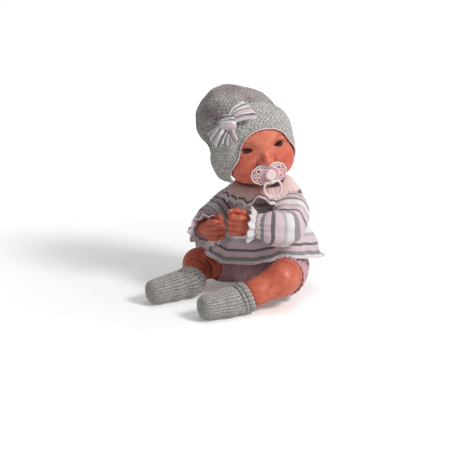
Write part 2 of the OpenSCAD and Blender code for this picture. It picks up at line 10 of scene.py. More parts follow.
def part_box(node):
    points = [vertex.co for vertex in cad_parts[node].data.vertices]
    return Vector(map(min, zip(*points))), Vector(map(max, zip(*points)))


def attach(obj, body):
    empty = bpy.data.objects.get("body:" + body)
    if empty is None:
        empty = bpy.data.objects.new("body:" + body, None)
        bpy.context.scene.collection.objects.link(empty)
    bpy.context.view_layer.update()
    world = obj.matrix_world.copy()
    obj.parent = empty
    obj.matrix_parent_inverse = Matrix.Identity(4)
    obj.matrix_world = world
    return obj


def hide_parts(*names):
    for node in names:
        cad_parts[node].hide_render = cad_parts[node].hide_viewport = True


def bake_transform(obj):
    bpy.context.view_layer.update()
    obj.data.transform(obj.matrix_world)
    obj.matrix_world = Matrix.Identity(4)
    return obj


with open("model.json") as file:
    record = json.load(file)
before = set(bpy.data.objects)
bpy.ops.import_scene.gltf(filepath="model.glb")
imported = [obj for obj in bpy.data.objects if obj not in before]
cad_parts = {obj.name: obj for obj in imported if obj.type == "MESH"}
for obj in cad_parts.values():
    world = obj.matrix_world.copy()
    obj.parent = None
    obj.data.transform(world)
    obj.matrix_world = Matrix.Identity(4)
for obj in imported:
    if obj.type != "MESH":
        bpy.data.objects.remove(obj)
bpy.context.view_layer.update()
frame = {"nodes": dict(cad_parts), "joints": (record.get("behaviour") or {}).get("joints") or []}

# Shapes are worked out in millimetres, in the frame of the CAD model, and turned into metres
# when a mesh is made: +Z up, the doll faces -Y, its left side is +X.
MM = 0.001
CAD = frame["nodes"]
JOINTS = {j["name"]: j for j in frame["joints"]}
rng = np.random.default_rng(7)


# ------------------------------------------------------------------ vectors and frames

def vec(*v):
    return np.array(v if len(v) > 1 else v[0], float)


def norm(v):
    return np.linalg.norm(v, axis=-1)


def unit(v):
    return vec(v) / norm(v)[..., None]


def merge(*parts):
    """Coordinates side by side in a last axis, each spread to the shape of the others."""
    return np.stack(np.broadcast_arrays(*parts), -1)


def circle(count, start=0.0):
    """Angles round a full turn."""
    return np.linspace(start, start + 2 * math.pi, count, endpoint=False)


def rot_x(degrees):
    c, s = math.cos(math.radians(degrees)), math.sin(math.radians(degrees))
    return np.array([[1, 0, 0], [0, c, -s], [0, s, c]])


def box_mm(node):
    """Lowest and highest corner of a node of the CAD model."""
    return [vec(list(corner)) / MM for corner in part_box(node)]


def centre(node):
    low, high = box_mm(node)
    return (low + high) / 2


def joint_mm(name):
    return vec(JOINTS[name]["pos_m"]) / MM


class Frame:
    """A place to model in: columns of R are its axes in the doll's frame, at is its origin."""

    def __init__(self, at, R):
        self.at, self.R = vec(at), np.array(R, float)

    def out(self, p):
        return self.at + np.asarray(p, float) @ self.R.T

    def into(self, p):
        return (np.asarray(p, float) - self.at) @ self.R

    def turned(self, R, shift):
        return Frame(self.out(R @ vec(shift)), self.R @ R)


# The head's axes come from its joints, and its middle from the eyes
EYE = vec(20.5, -39.5, 4)         # the left eye in the head's frame
EYE_R = 8.6
head_up = unit(JOINTS["head_turn"]["axis"])
head_side = unit(JOINTS["head_nod"]["axis"])
HEAD_R = np.stack([head_side, np.cross(head_up, head_side), head_up], 1)
eyes_middle = (centre("left_eye") + centre("right_eye")) / 2
HEAD = Frame(eyes_middle - HEAD_R @ (EYE * [0, 1, 1]), HEAD_R)
HAT_LEAN = -57
HAT_RISE = 6
HAT = HEAD.turned(rot_x(HAT_LEAN), (0, 0, HAT_RISE))


# ------------------------------------------------------------------ fields and smooth joins

def smin(a, b, k):
    """The smaller of two fields, with a smooth join where they are within k of each other."""
    h = np.clip(0.5 + 0.5 * (b - a) / k, 0, 1)
    return b + (a - b) * h - k * h * (1 - h)


def smax(a, b, k):
    return -smin(-a, -b, k)


def hill(x, width, power=2):
    """1 where x is 0, falling smoothly to 0 beyond width."""
    return np.exp(-(x / width) ** power)


def spot(p, at, size, power=2):
    """The same in space: 1 at a point, 0 outside the sizes round it."""
    return np.exp(-norm((p - vec(at)) / vec(size)) ** power)


def ball(p, at, r):
    return norm(p - vec(at)) - r


def egg(p, at, radii):
    q = p - vec(at)
    k0 = norm(q / vec(radii))
    k1 = norm(q / vec(radii) ** 2)
    return k0 * (k0 - 1) / np.maximum(k1, 1e-9)


def cone(p, a, b, ra, rb):
    """Distance from a rod with round ends, of radius ra at a and rb at b."""
    a, b = vec(a), vec(b)
    d = b - a
    h = np.clip((p - a) @ d / (d @ d), 0, 1)
    return norm(p - a - h[..., None] * d) - (ra + (rb - ra) * h)


def chain(p, points, radii, k):
    """Rods along points, joined smoothly over k."""
    f = cone(p, points[0], points[1], radii[0], radii[1])
    for i in range(1, len(points) - 1):
        f = smin(f, cone(p, points[i], points[i + 1], radii[i], radii[i + 1]), k)
    return f


def wobble(p, size, seed=0):
    """Smooth random waves of about that size, from -1 to 1."""
    r = np.random.default_rng(seed)
    total = 0
    for _ in range(6):
        d = unit(r.normal(size=3)) * 2 * math.pi / (size * r.uniform(0.7, 1.5))
        total = total + np.sin(p @ d + r.uniform(0, 6.3))
    return total / 3.5


def net(f, low, high, step):
    """Vertices and four-sided faces of the surface where f is 0, inside the box low to high."""
    axes = [np.arange(low[i], high[i] + step, step) for i in range(3)]
    P = np.stack(np.meshgrid(*axes, indexing="ij"), -1)
    shape = P.shape[:3]
    flat = P.reshape(-1, 3)
    V = np.concatenate([f(part) for part in np.array_split(flat, max(1, len(flat) // 200000))])
    V = V.reshape(shape)
    corners = list(itertools.product((0, 1), repeat=3))

    def at(c):
        return V[c[0]:shape[0] - 1 + c[0], c[1]:shape[1] - 1 + c[1], c[2]:shape[2] - 1 + c[2]]

    count = sum((at(c) < 0).astype(int) for c in corners)
    active = (count > 0) & (count < 8)
    index = -np.ones(active.shape, int)
    index[active] = np.arange(active.sum())
    cell = np.argwhere(active).astype(float)
    total, hits = np.zeros((len(cell), 3)), np.zeros(len(cell))
    for a, b in itertools.combinations(corners, 2):
        if sum(abs(i - j) for i, j in zip(a, b)) != 1:
            continue
        va, vb = at(a)[active], at(b)[active]
        cross = (va < 0) != (vb < 0)
        t = np.where(cross, va / np.where(cross, va - vb, 1), 0)
        total[cross] += (cell + vec(a) + t[:, None] * (vec(b) - vec(a)))[cross]
        hits[cross] += 1
    verts = vec(low) + step * total / hits[:, None]
    faces = []
    inside = V < 0
    for axis in range(3):
        u, v = (axis + 1) % 3, (axis + 2) % 3
        first = np.take(inside, range(shape[axis] - 1), axis)
        second = np.take(inside, range(1, shape[axis]), axis)
        edges = np.argwhere(first != second)
        edges = edges[(edges[:, u] > 0) & (edges[:, v] > 0)
                      & (edges[:, u] < shape[u] - 1) & (edges[:, v] < shape[v] - 1)]
        du, dv = np.eye(3, dtype=int)[u], np.eye(3, dtype=int)[v]
        quad = np.stack([index[tuple((edges - s).T)] for s in (du + dv, dv, 0 * du, du)], 1)
        starts_inside = first[tuple(edges.T)]
        quad[~starts_inside] = quad[~starts_inside][:, ::-1]
        faces.append(quad)
    for _ in range(2):
        verts = settle(f, verts)
    return verts, np.concatenate(faces)


def gradient(f, p, h=0.05):
    return np.stack([f(p + h * e) - f(p - h * e) for e in np.eye(3)], -1) / (2 * h)


def settle(f, verts):
    """Moves vertices onto the surface of f."""
    g = gradient(f, verts)
    size = np.maximum((g ** 2).sum(-1, keepdims=True), 0.05)
    return verts - np.clip(f(verts)[:, None] / size, -1, 1) * g


# ------------------------------------------------------------------ meshes

def new_object(name, data):
    piece = bpy.data.objects.new(name, data)
    bpy.context.scene.collection.objects.link(piece)
    return piece


def mesh_object(name, verts, faces, body, material, uv=None, marks=None, replaces=(),
                slot=None):
    """A smooth mesh from points in mm, which rides on a body if one is given.

    uv has one pair for each vertex, marks a name and one number for each vertex.
    """
    mesh = bpy.data.meshes.new(name)
    mesh.from_pydata((np.asarray(verts) * MM).tolist(), [], [list(map(int, f)) for f in faces])
    mesh.polygons.foreach_set("use_smooth", [True] * len(mesh.polygons))
    if uv is not None:
        layer = mesh.uv_layers.new(name="UVMap")
        loops = np.zeros(len(mesh.loops), int)
        mesh.loops.foreach_get("vertex_index", loops)
        layer.data.foreach_set("uv", np.asarray(uv, np.float32)[loops].ravel())
    for mark, values in (marks or {}).items():
        attribute = mesh.attributes.new(mark, "FLOAT", "POINT")
        attribute.data.foreach_set("value", np.asarray(values, np.float32))
    mesh.validate()
    mesh.update()
    mesh.materials.append(material)
    piece = new_object(name, mesh)
    if body:
        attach(piece, body)
    if replaces:
        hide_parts(*replaces)
    return piece


def grid_faces(rows, columns, wrap, start=0, flip=False, wrap_rows=False):
    """Four-sided faces between a grid's points, closed along its rows if wrap."""
    i, j = np.meshgrid(np.arange(rows if wrap_rows else rows - 1),
                       np.arange(columns if wrap else columns - 1), indexing="ij")
    i2, j2 = (i + 1) % rows, (j + 1) % columns
    quad = merge(i * columns + j, i * columns + j2, i2 * columns + j2, i2 * columns + j)
    quad = quad.reshape(-1, 4) + start
    return quad[:, ::-1] if flip else quad


def grid_normals(P, wrap):
    """Normals of a grid of points, rows by columns."""
    du = (np.roll(P, -1, 1) - np.roll(P, 1, 1)) if wrap else np.gradient(P, axis=1)
    dv = np.gradient(P, axis=0)
    n = np.cross(du, dv)
    return n / np.maximum(norm(n)[..., None], 1e-9)


def shell(P, thickness, wrap=True, uv=None, marks=None):
    """A closed sheet of that thickness: P is its outer side, and the inner side lies behind."""
    rows, columns = P.shape[:2]
    inner = P - grid_normals(P, wrap) * thickness
    n = rows * columns
    faces = [grid_faces(rows, columns, wrap), grid_faces(rows, columns, wrap, n, flip=True)]

    def edge(line, flip):
        around = wrap and len(line) == columns
        loop = np.concatenate([line, line[:1]]) if around else line
        quad = merge(loop[:-1], loop[:-1] + n, loop[1:] + n, loop[1:])
        return quad[:, ::-1] if flip else quad

    ids = np.arange(n).reshape(rows, columns)
    faces.append(edge(ids[0], False))
    faces.append(edge(ids[-1], True))
    if not wrap:
        faces.append(edge(ids[:, 0], True))
        faces.append(edge(ids[:, -1], False))
    verts = np.concatenate([P.reshape(-1, 3), inner.reshape(-1, 3)])
    uv = None if uv is None else np.concatenate([uv.reshape(-1, 2)] * 2)
    marks = {k: np.concatenate([v.ravel()] * 2) for k, v in (marks or {}).items()}
    return verts, np.concatenate(faces), uv, marks


def sheet_object(name, P, thickness, body, material, wrap=True, uv=None, marks=None, **more):
    verts, faces, uv, marks = shell(P, thickness, wrap, uv, marks)
    return mesh_object(name, verts, faces, body, material, uv, marks, **more)


def spline(points, count, closed=False):
    """Smooth curve through points, as count points with even spacing in the parameter."""
    P = np.array(points, float)
    n = len(P)
    spans = n if closed else n - 1
    t = np.linspace(0, spans, count, endpoint=not closed)
    i = np.minimum(t.astype(int), spans - 1)
    s = (t - i)[:, None]
    a, b, c, d = (P[(i + k) % n if closed else np.clip(i + k, 0, n - 1)] for k in (-1, 0, 1, 2))
    return 0.5 * (2 * b + (c - a) * s + (2 * a - 5 * b + 4 * c - d) * s ** 2
                  + (3 * b - a - 3 * c + d) * s ** 3)


def distance_along(P):
    """Distance from the first point, along a row of points or down each column of a grid."""
    steps = norm(np.diff(P, axis=0))
    return np.concatenate([0 * steps[:1], np.cumsum(steps, 0)])


def even(points, count, closed=False):
    """The same curve with points an equal distance apart."""
    dense = spline(points, count * 12, closed)
    if closed:
        dense = np.concatenate([dense, dense[:1]])
    s = distance_along(dense)
    t = np.linspace(0, s[-1], count, endpoint=not closed)
    return np.stack([np.interp(t, s, dense[:, k]) for k in range(3)], 1)


def rings_round(line, radius, turn, side, up):
    """Points round a line, at each angle of turn: 0 is towards side, a quarter is towards up."""
    turn = turn[..., None]
    return line + radius[..., None] * (np.cos(turn) * side + np.sin(turn) * up)


def tube(path, radius, sides, closed=False):
    """Vertices and faces of a round tube along path; radius may be one number for each point."""
    path = np.asarray(path, float)
    n = len(path)
    tangent = unit((np.roll(path, -1, 0) - np.roll(path, 1, 0)) if closed
                   else np.gradient(path, axis=0))
    side = np.zeros_like(path)
    side[0] = unit(np.cross(tangent[0], [0.31, 0.22, 0.92]))
    for i in range(1, n):
        side[i] = unit(side[i - 1] - tangent[i] * (side[i - 1] @ tangent[i]))
    up = np.cross(tangent, side)
    P = rings_round(path[:, None], np.broadcast_to(radius, n)[:, None], circle(sides)[None],
                    side[:, None], up[:, None])
    faces = [grid_faces(n, sides, True, wrap_rows=closed)]
    if not closed:
        faces += [[list(range(sides))[::-1]], [list(range((n - 1) * sides, n * sides))]]
    return P.reshape(-1, 3), [q for part in faces for q in part]


def joined(parts):
    """One set of vertices and faces from several."""
    verts, faces, start = [], [], 0
    for v, f in parts:
        verts.append(v)
        faces += [[int(i) + start for i in q] for q in f]
        start += len(v)
    return np.concatenate(verts), faces


def capped(P, poles=None, flip=True):
    """A tube of points, rows by columns, closed by a fan at each end."""
    n, m = P.shape[:2]
    if poles is None:
        poles = np.concatenate([P[:1].mean(1), P[-1:].mean(1)])
    faces = list(grid_faces(n, m, True, flip=flip))
    for j in range(m):
        a, b = (j, (j + 1) % m) if flip else ((j + 1) % m, j)
        faces += [[n * m, a, b], [n * m + 1, (n - 1) * m + b, (n - 1) * m + a]]
    return np.concatenate([P.reshape(-1, 3), poles]), faces


def lathe(profile, count, sides):
    """Two coordinates across and one along a turned shape, from pairs of radius and height."""
    fine = spline([(r, h, 0) for r, h in profile], count)
    turn = circle(sides)
    return fine[:, :1] * np.cos(turn), fine[:, :1] * np.sin(turn), fine[:, 1:2] + 0 * turn


def edging(name, path, radius, body, relief=1.0, place=None):
    """A crocheted cord along the edge of a sheet, in the doll's frame or in the given place."""
    verts, faces = tube(path, radius, 7, closed=True)
    mesh_object(name, place.out(verts) if place else verts, faces, body, TRIM_PINK,
                marks={"relief": np.full(len(verts), relief)})


# ------------------------------------------------------------------ materials

def srgb(r, g, b):
    """A colour written as 0 to 255 on a screen."""
    return tuple((c / 255 / 12.92) if c <= 10 else ((c / 255 + 0.055) / 1.055) ** 2.4
                 for c in (r, g, b)) + (1.0,)


def add_node(tree, kind, inputs=(), **settings):
    """A shader node; each of its inputs is given as a value or as another node's output."""
    n = tree.nodes.new(kind)
    for key, value in settings.items():
        setattr(n, key, value)
    for key, value in dict(inputs).items():
        if hasattr(value, "links"):
            tree.links.new(value, n.inputs[key])
        else:
            n.inputs[key].default_value = value
    return n


class Paint:
    """A material with a Principled shader, and short ways to add nodes before it."""

    def __init__(self, name, rough=0.6, **sockets):
        self.material = bpy.data.materials.new(name)
        self.material.use_nodes = True
        self.tree = self.material.node_tree
        self.shader = self.tree.nodes["Principled BSDF"]
        self.shader.inputs["Roughness"].default_value = rough
        for socket, value in sockets.items():
            self.shader.inputs[socket.replace("_", " ")].default_value = value
        self.place = self.node("ShaderNodeTexCoord").outputs["Object"]

    def node(self, kind, inputs=(), **settings):
        return add_node(self.tree, kind, inputs, **settings)

    def link(self, output, socket):
        self.tree.links.new(output, self.shader.inputs[socket])

    def painted(self, colour):
        """The finished material, in that colour."""
        self.link(colour, "Base Color")
        return self.material

    def scaled(self, source, size):
        """Coordinates in units of size: a pattern with 1 unit in them has that size."""
        return self.node("ShaderNodeVectorMath", {0: source, 1: vec(1, 1, 1) / vec(size)},
                         operation="MULTIPLY").outputs[0]

    def noise(self, size, detail=2.0, rough=0.5):
        where = self.scaled(self.place, [size * MM] * 3)
        return self.node("ShaderNodeTexNoise", {"Vector": where, "Scale": 1.0, "Detail": detail,
                                                "Roughness": rough}).outputs["Fac"]

    def cells(self, size):
        where = self.scaled(self.place, [size * MM] * 3)
        return self.node("ShaderNodeTexVoronoi", {"Vector": where, "Scale": 1.0},
                         feature="F1").outputs["Distance"]

    def mark(self, name):
        return self.node("ShaderNodeAttribute", attribute_name=name).outputs["Fac"]

    def uv(self, axis):
        u = self.node("ShaderNodeUVMap", uv_map="UVMap").outputs["UV"]
        return self.node("ShaderNodeSeparateXYZ", {0: u}).outputs[axis]

    def math(self, operation, a, b=0.0):
        return self.node("ShaderNodeMath", {0: a, 1: b}, operation=operation).outputs[0]

    def spread(self, value, low, high, to_low=0.0, to_high=1.0):
        return self.node("ShaderNodeMapRange", {0: value, 1: low, 2: high, 3: to_low,
                                                4: to_high}).outputs[0]

    def mix(self, factor, a, b, blend="MIX"):
        """Of two colours: each is a node's output, or three numbers from 0 to 255."""
        a, b = (c if hasattr(c, "links") else srgb(*c) for c in (a, b))
        return self.node("ShaderNodeMix", {0: factor, 6: a, 7: b}, data_type="RGBA",
                         blend_type=blend).outputs[2]

    def ramp(self, value, stops, steps=False):
        """stops: pairs of place and colour."""
        n = self.node("ShaderNodeValToRGB", {0: value})
        n.color_ramp.interpolation = "CONSTANT" if steps else "LINEAR"
        elements = n.color_ramp.elements
        while len(elements) < len(stops):
            elements.new(1.0)
        for element, (place, colour) in zip(elements, stops):
            element.position, element.color = place, srgb(*colour)
        return n.outputs[0]

    def bump(self, height, strength, distance):
        n = self.node("ShaderNodeBump", {"Strength": strength, "Distance": distance * MM,
                                         "Height": height})
        last = self.shader.inputs["Normal"].links
        if last:
            self.tree.links.new(last[0].from_socket, n.inputs["Normal"])
        self.link(n.outputs[0], "Normal")


def vinyl(name, tone, deep, blush, rough=0.42, brows=None):
    """Soft vinyl skin: mottled, redder where the mark 'blush' says, with painted shade in creases
    and hollows.
    """
    p = Paint(name, rough, Subsurface_Weight=0.16, Subsurface_Scale=0.005,
              Specular_IOR_Level=0.45)
    p.shader.inputs["Subsurface Radius"].default_value = (1.0, 0.35, 0.2)
    colour = p.mix(p.spread(p.noise(9, 3), 0.35, 0.68), tone, deep)
    colour = p.mix(p.spread(p.noise(1.3, 2), 0.3, 0.7, 0.0, 0.22), colour, blush)
    # Redder where the mark 'blush' says; on the arms and legs this also holds painted shade in
    # hollows and near the floor
    colour = p.mix(p.mark("blush"), colour, blush)
    # Painted shade: darker red in creases and hollows
    colour = p.mix(p.mark("crease_shade"), colour, (134, 44, 34))
    if brows:
        # Faint painted brows: short strokes where the mark 'brow' says
        strokes = p.node("ShaderNodeTexNoise", {"Vector": p.place, "Scale": 900}).outputs["Fac"]
        colour = p.mix(p.math("MULTIPLY", p.mark("brow"), strokes), colour, brows)
    p.link(p.spread(p.noise(4, 3), 0.3, 0.7, rough - 0.08, rough + 0.1), "Roughness")
    p.bump(p.noise(0.5, 2), 0.12, 0.12)
    return p.painted(colour)


def wool(name, light, dark, fleck, fleck_share=0.5, deep=0.75, warm=None, speck=0.55):
    """Melange yarn: light and dark fibres mixed stitch by stitch, with painted shade in the pits.
    """
    p = Paint(name, 0.9, Sheen_Weight=0.3, Sheen_Roughness=0.5, Specular_IOR_Level=0.2)
    speck_and_pit_shade = [c * 0.42 for c in dark]
    strand = p.spread(p.noise(1.5, 3, 0.75), 0.38, 0.62)
    colour = p.mix(strand, dark, light)
    fleck_at = p.spread(p.noise(1.2, 2, 0.7), 0.53, 0.66, 0, fleck_share)
    colour = p.mix(fleck_at, colour, fleck)
    if warm:
        side = p.spread(p.noise(26, 1), 0.36, 0.62, 0.1, 0.75)
        colour = p.mix(side, colour, warm, "MULTIPLY")
    specks = p.spread(p.cells(2.6), 0.2, 0.55, speck, 0.0)
    specks = p.math("MULTIPLY", specks, p.spread(p.noise(3.1, 1), 0.4, 0.58))
    colour = p.mix(specks, colour, speck_and_pit_shade)
    # Painted shade in the pits between stitches, where the mark 'relief' is low; deep sets how dark
    colour = p.mix(p.spread(p.mark("relief"), 0.0, 0.62, deep, 0.0), colour, speck_and_pit_shade)
    p.bump(p.noise(0.45, 3, 0.7), 0.8, 0.35)
    return p.painted(colour)


def jersey(name, stops, repeat, rib=1.1):
    """Fine jersey with stripes: stops are (start in mm, colour) within one repeat."""
    p = Paint(name, 0.82, Sheen_Weight=0.3, Sheen_Roughness=0.45, Specular_IOR_Level=0.25)
    v = p.uv("Y")
    wander = p.math("MULTIPLY", p.math("SUBTRACT", p.noise(7, 1), 0.5), 0.9)
    phase = p.math("FRACT", p.math("DIVIDE", p.math("ADD", v, wander), repeat))
    colour = p.ramp(phase, [(s / repeat, c) for s, c in stops], steps=True)
    wale = p.math("SINE", p.math("MULTIPLY", p.uv("X"), 2 * math.pi / rib))
    course = p.math("SINE", p.math("MULTIPLY", v, 2 * math.pi / (rib * 0.8)))
    loop = p.math("MULTIPLY", wale, course)
    # Painted shade between the knitted loops, where they dip
    colour = p.mix(p.spread(loop, -1, 1, 0.2, 0.0), colour, (120, 108, 112))
    colour = p.mix(p.spread(p.noise(0.8, 2), 0.35, 0.65, 0.16, 0.0), colour, (150, 138, 142))
    p.bump(loop, 0.35, 0.25)
    p.bump(p.noise(0.4, 2), 0.25, 0.15)
    return p.painted(colour)


def plastic(name, colour, rough=0.35, clear=0.0, **more):
    """Moulded plastic, faintly uneven, with fine scuffs in its gloss."""
    p = Paint(name, rough, Transmission_Weight=clear, **more)
    tone = p.mix(p.spread(p.noise(6, 3), 0.3, 0.7, 0.0, 0.12), colour,
                 [c * 0.82 for c in colour])
    p.link(p.spread(p.noise(2, 4, 0.7), 0.3, 0.7, rough * 0.85, rough * 1.2), "Roughness")
    p.bump(p.noise(0.8, 2), 0.05, 0.05)
    return p.painted(tone)


def metal(name, colour, rough=0.3):
    p = Paint(name, rough, Metallic=1.0)
    tone = p.mix(p.noise(1.5, 3), colour, [c * 0.75 for c in colour])
    p.link(p.spread(p.noise(0.7, 4), 0.3, 0.7, rough * 0.8, rough * 1.4), "Roughness")
    return p.painted(tone)


# ------------------------------------------------------------------ colours

SKIN = vinyl("skin", (212, 122, 94), (194, 92, 68), (172, 56, 42))
HAT_WOOL = wool("hat_wool", (206, 200, 197), (120, 112, 111), (240, 238, 235), 0.75, deep=0.5,
                warm=(190, 176, 178))
BRIM_WOOL = wool("brim_wool", (210, 207, 202), (128, 123, 120), (240, 238, 233), 0.75, deep=0.5)
SOCK_WOOL = wool("sock_wool", (192, 188, 184), (128, 123, 121), (222, 218, 213), 0.6, deep=0.72,
                 speck=0.3)
RIB_PINK = wool("rib_pink", (218, 174, 180), (184, 138, 144), (232, 202, 204), 0.4, deep=0.6)
TRIM_PINK = wool("trim_pink", (240, 226, 228), (214, 190, 196), (252, 246, 246), 0.5, deep=0.3)

WHITE, PINK = (236, 230, 230), (222, 200, 206)
LIGHT, GREY, DARK = (188, 184, 186), (146, 142, 146), (104, 100, 104)
STRIPES = [(0, WHITE), (5, GREY), (10, PINK), (17, DARK), (20.5, PINK), (29, LIGHT), (34, WHITE)]
STRIPED = jersey("striped_jersey", STRIPES, 39)
CUFF_JERSEY = jersey("cuff_jersey", [(0, (226, 196, 190)), (7, GREY), (9, WHITE)], 40)
BOW_JERSEY = jersey("bow_jersey", [(0, WHITE), (2.6, LIGHT), (3.8, DARK), (5.2, WHITE),
                                   (7.2, PINK), (9.8, GREY)], 11, rib=0.9)
KNOT_JERSEY = jersey("knot_jersey", [(0, PINK), (3.4, WHITE), (7.6, GREY), (9.6, WHITE),
                                     (11.8, DARK), (14.4, WHITE)], 17.2, rib=0.9)


# ------------------------------------------------------------------ head

MOUTH_Z = -27
LID_W, LID_UP, LID_LOW = 7.4, 3.1, 3.0        # half width, and height over and under the middle
LID_SLANT = 0.06


def eye_place(p):
    """Sideways and upward distance from the middle of the nearest eye, slanted with the lids."""
    u = np.abs(p[:, 0]) - EYE[0]
    return u, p[:, 2] - EYE[2] - LID_SLANT * u


def mirrored(p):
    """Both halves of a symmetric head, laid on the doll's left one."""
    return merge(np.abs(p[..., 0]), p[..., 1], p[..., 2])


def skull(p):
    """The head without its features: crown, forehead, cheeks and chin."""
    f = egg(p, (0, 0, 0), (44.5, 52, 55.5))
    f = smin(f, egg(p, (0, -24, 20), (33.5, 28, 26)), 16)
    f = smin(f, ball(mirrored(p), (20.5, -28, -20), 20.5), 12)
    return smin(f, egg(p, (0, -36, -35), (15, 14, 11)), 10)


def head_field(p):
    half = mirrored(p)
    f = skull(p)
    # Ears, eye hollows, nose with nostrils, lids and lips
    f = smin(f, egg(half, (41.5, 6, -8), (3.0, 7, 10)), 3)
    f = f + 2.4 * spot(half, (17, -54, 5), (13, 12, 8))
    f = smin(f, cone(p, (0, -49.8, 3), (0, -54.8, -7.5), 2.6, 4.0), 5)
    f = smin(f, ball(p, (0, -57.6, -11.8), 6.1), 2.6)
    f = smin(f, ball(half, (6.4, -54.8, -13.4), 3.9), 1.8)
    f = f + 2.4 * spot(half, (2.8, -60, -16.6), (1.7, 3, 1.3))
    f = f + 1.5 * spot(half, (11.2, -54, -12), (1.7, 6, 4.8))
    f = smin(f, ball(half, EYE, EYE_R + 1.3), 3.4)
    f = smin(f, egg(p, (0, -52.8, -22.2), (7.5, 4.4, 2.6)), 2.4)
    f = smin(f, egg(p, (0, -51.8, -31.6), (6.5, 4.4, 2.8)), 2.4)
    u, v = eye_place(p)
    front = (p[:, 1] < -30)
    fold = v - (5.0 - 0.045 * u ** 2)
    f = f + front * 0.8 * hill(fold, 0.75) * hill(u, 8.5, 4)
    bag = v + 5.4 - 0.05 * u ** 2
    f = f + front * 0.45 * hill(bag, 0.8) * hill(u, 8, 4)
    width = 1 - (u / LID_W) ** 2
    almond = np.maximum(v - LID_UP * width, -v - LID_LOW * width)
    f = smax(f, -np.maximum(almond, p[:, 1] + 42), 0.5)
    mouth = np.maximum(np.hypot(p[:, 0], (p[:, 2] - MOUTH_Z) * 1.15) - 5.4, p[:, 1] + 44)
    return smax(f, -mouth, 1.2)


def spaced(count, density, low, high):
    """count numbers from low to high, closer where density is higher."""
    t = np.linspace(low, high, 2000)                # fine enough to sum the density
    share = np.cumsum(density(t))
    share = (share - share[0]) / (share[-1] - share[0])
    return np.interp(np.linspace(0, 1, count), share, t)


def radial(field, directions, far, near, steps=48, start=(0, 0, 0)):
    """Distance along each direction from start to the outermost surface of a field."""
    shape = directions.shape[:-1]
    d = directions.reshape(-1, 3)
    origin = np.broadcast_to(start, directions.shape).reshape(-1, 3)
    r = np.full(len(d), float(far))
    found = np.zeros(len(d), bool)
    step = (far - near) / steps
    for _ in range(steps):
        f = field(origin + d * r[:, None])
        found |= f < 0
        r[~found] -= step
    low, high = r.copy(), r + step
    for _ in range(12):
        mid = (low + high) / 2
        inside = field(origin + d * mid[:, None]) < 0
        low, high = np.where(inside, mid, low), np.where(inside, high, mid)
    return ((low + high) / 2).reshape(shape)


def make_head():
    columns, rows = 320, 190
    lowest, socket_top = -72, -38       # degrees and mm under the head's middle
    turn = spaced(columns + 1, lambda t: 0.5 + hill(t, 0.95), -math.pi, math.pi)[:-1]
    lift = spaced(rows, lambda t: 0.5 + 1.2 * hill(t + 0.12, 0.42),
                  math.radians(lowest), math.radians(89.5))
    T, L = np.meshgrid(turn, lift)
    D = merge(np.sin(T) * np.cos(L), -np.cos(T) * np.cos(L), np.sin(L))
    P = D * radial(head_field, D, far=72, near=36)[..., None]
    # The neck's socket, from its roof down to the rim of the skin
    across = unit(P[0, :, :2])
    rim_z = P[0, :, 2].mean()
    rings = [(21, socket_top), (21, rim_z + 5.2), (17.3, rim_z + 5), (17.3, rim_z)]
    inner = [np.concatenate([across * r, np.full((columns, 1), z)], 1) for r, z in rings]
    P = np.concatenate([np.stack(inner), P])
    verts, faces = capped(P, [[0, 0, socket_top], [0, 0, P[-1, :, 2].mean()]], flip=False)
    u, v = eye_place(verts)
    front = verts[:, 1] < -25
    half = mirrored(verts)
    # Cheeks, nose, chin, mouth and lids are redder
    blush = (0.55 * spot(half, (27, -46, -17), (15, 22, 13))
             + 0.45 * spot(verts, (0, -58, -12), (7, 12, 5))
             + 0.4 * spot(verts, (0, -50, -38), (12, 14, 7))
             + 0.55 * spot(verts, (0, -55, -27), (9, 10, 7.5), 4)
             + front * 0.3 * np.exp(-(u / 12) ** 2 - ((v - 1) / 7) ** 2))
    # Painted shade along the lid edges, in the lid folds and in the nostrils
    width = 1 - (u / (LID_W + 0.4)) ** 2
    lid_line = hill(v - LID_UP * width - 0.5, 0.75) * (np.abs(u) < LID_W + 0.5)
    low_line = 0.35 * hill(v + LID_LOW * width + 0.3, 0.6) * (np.abs(u) < LID_W)
    fold = 0.45 * hill(v - 5.0 + 0.045 * u ** 2, 0.7) * hill(u, 8, 4)
    nostril = spot(half, (2.0, -58, -16.2), (1.5, 4, 1.2))
    crease_shade = np.clip(front * (0.9 * lid_line + low_line + fold) + nostril, 0, 1)
    brow = front * hill(v - (10.2 - 0.05 * (u - 1) ** 2), 1.3) * hill(u - 0.5, 8.5, 4)
    skin = vinyl("face_skin", (226, 138, 110), (208, 106, 82), (182, 58, 44), 0.4,
                 brows=(138, 74, 50))
    mesh_object("head_skin", HEAD.out(verts), faces, "head_group", skin,
                marks={"blush": np.clip(blush, 0, 1), "crease_shade": crease_shade, "brow": brow},
                replaces=["head"], slot="vinyl")


def eye_material():
    """Glass eye: brown iris with a dark rim and pupil around the forward axis of the eye."""
    p = Paint("glass_eye", 0.12, Specular_IOR_Level=0.35)
    streak = p.math("MULTIPLY", p.math("SUBTRACT", p.noise(0.7, 3), 0.5), 0.1)
    radius = p.math("ADD", p.mark("iris"), streak)
    colour = p.ramp(radius, [(0.0, (8, 5, 5)), (0.24, (12, 8, 8)),
                             (0.3, (74, 40, 26)), (0.52, (60, 30, 20)),
                             (0.62, (20, 12, 12)), (0.68, (226, 214, 208)),
                             (1.0, (226, 196, 188))])
    p.bump(p.noise(1.2, 1), 0.02, 0.02)
    return p.painted(colour)


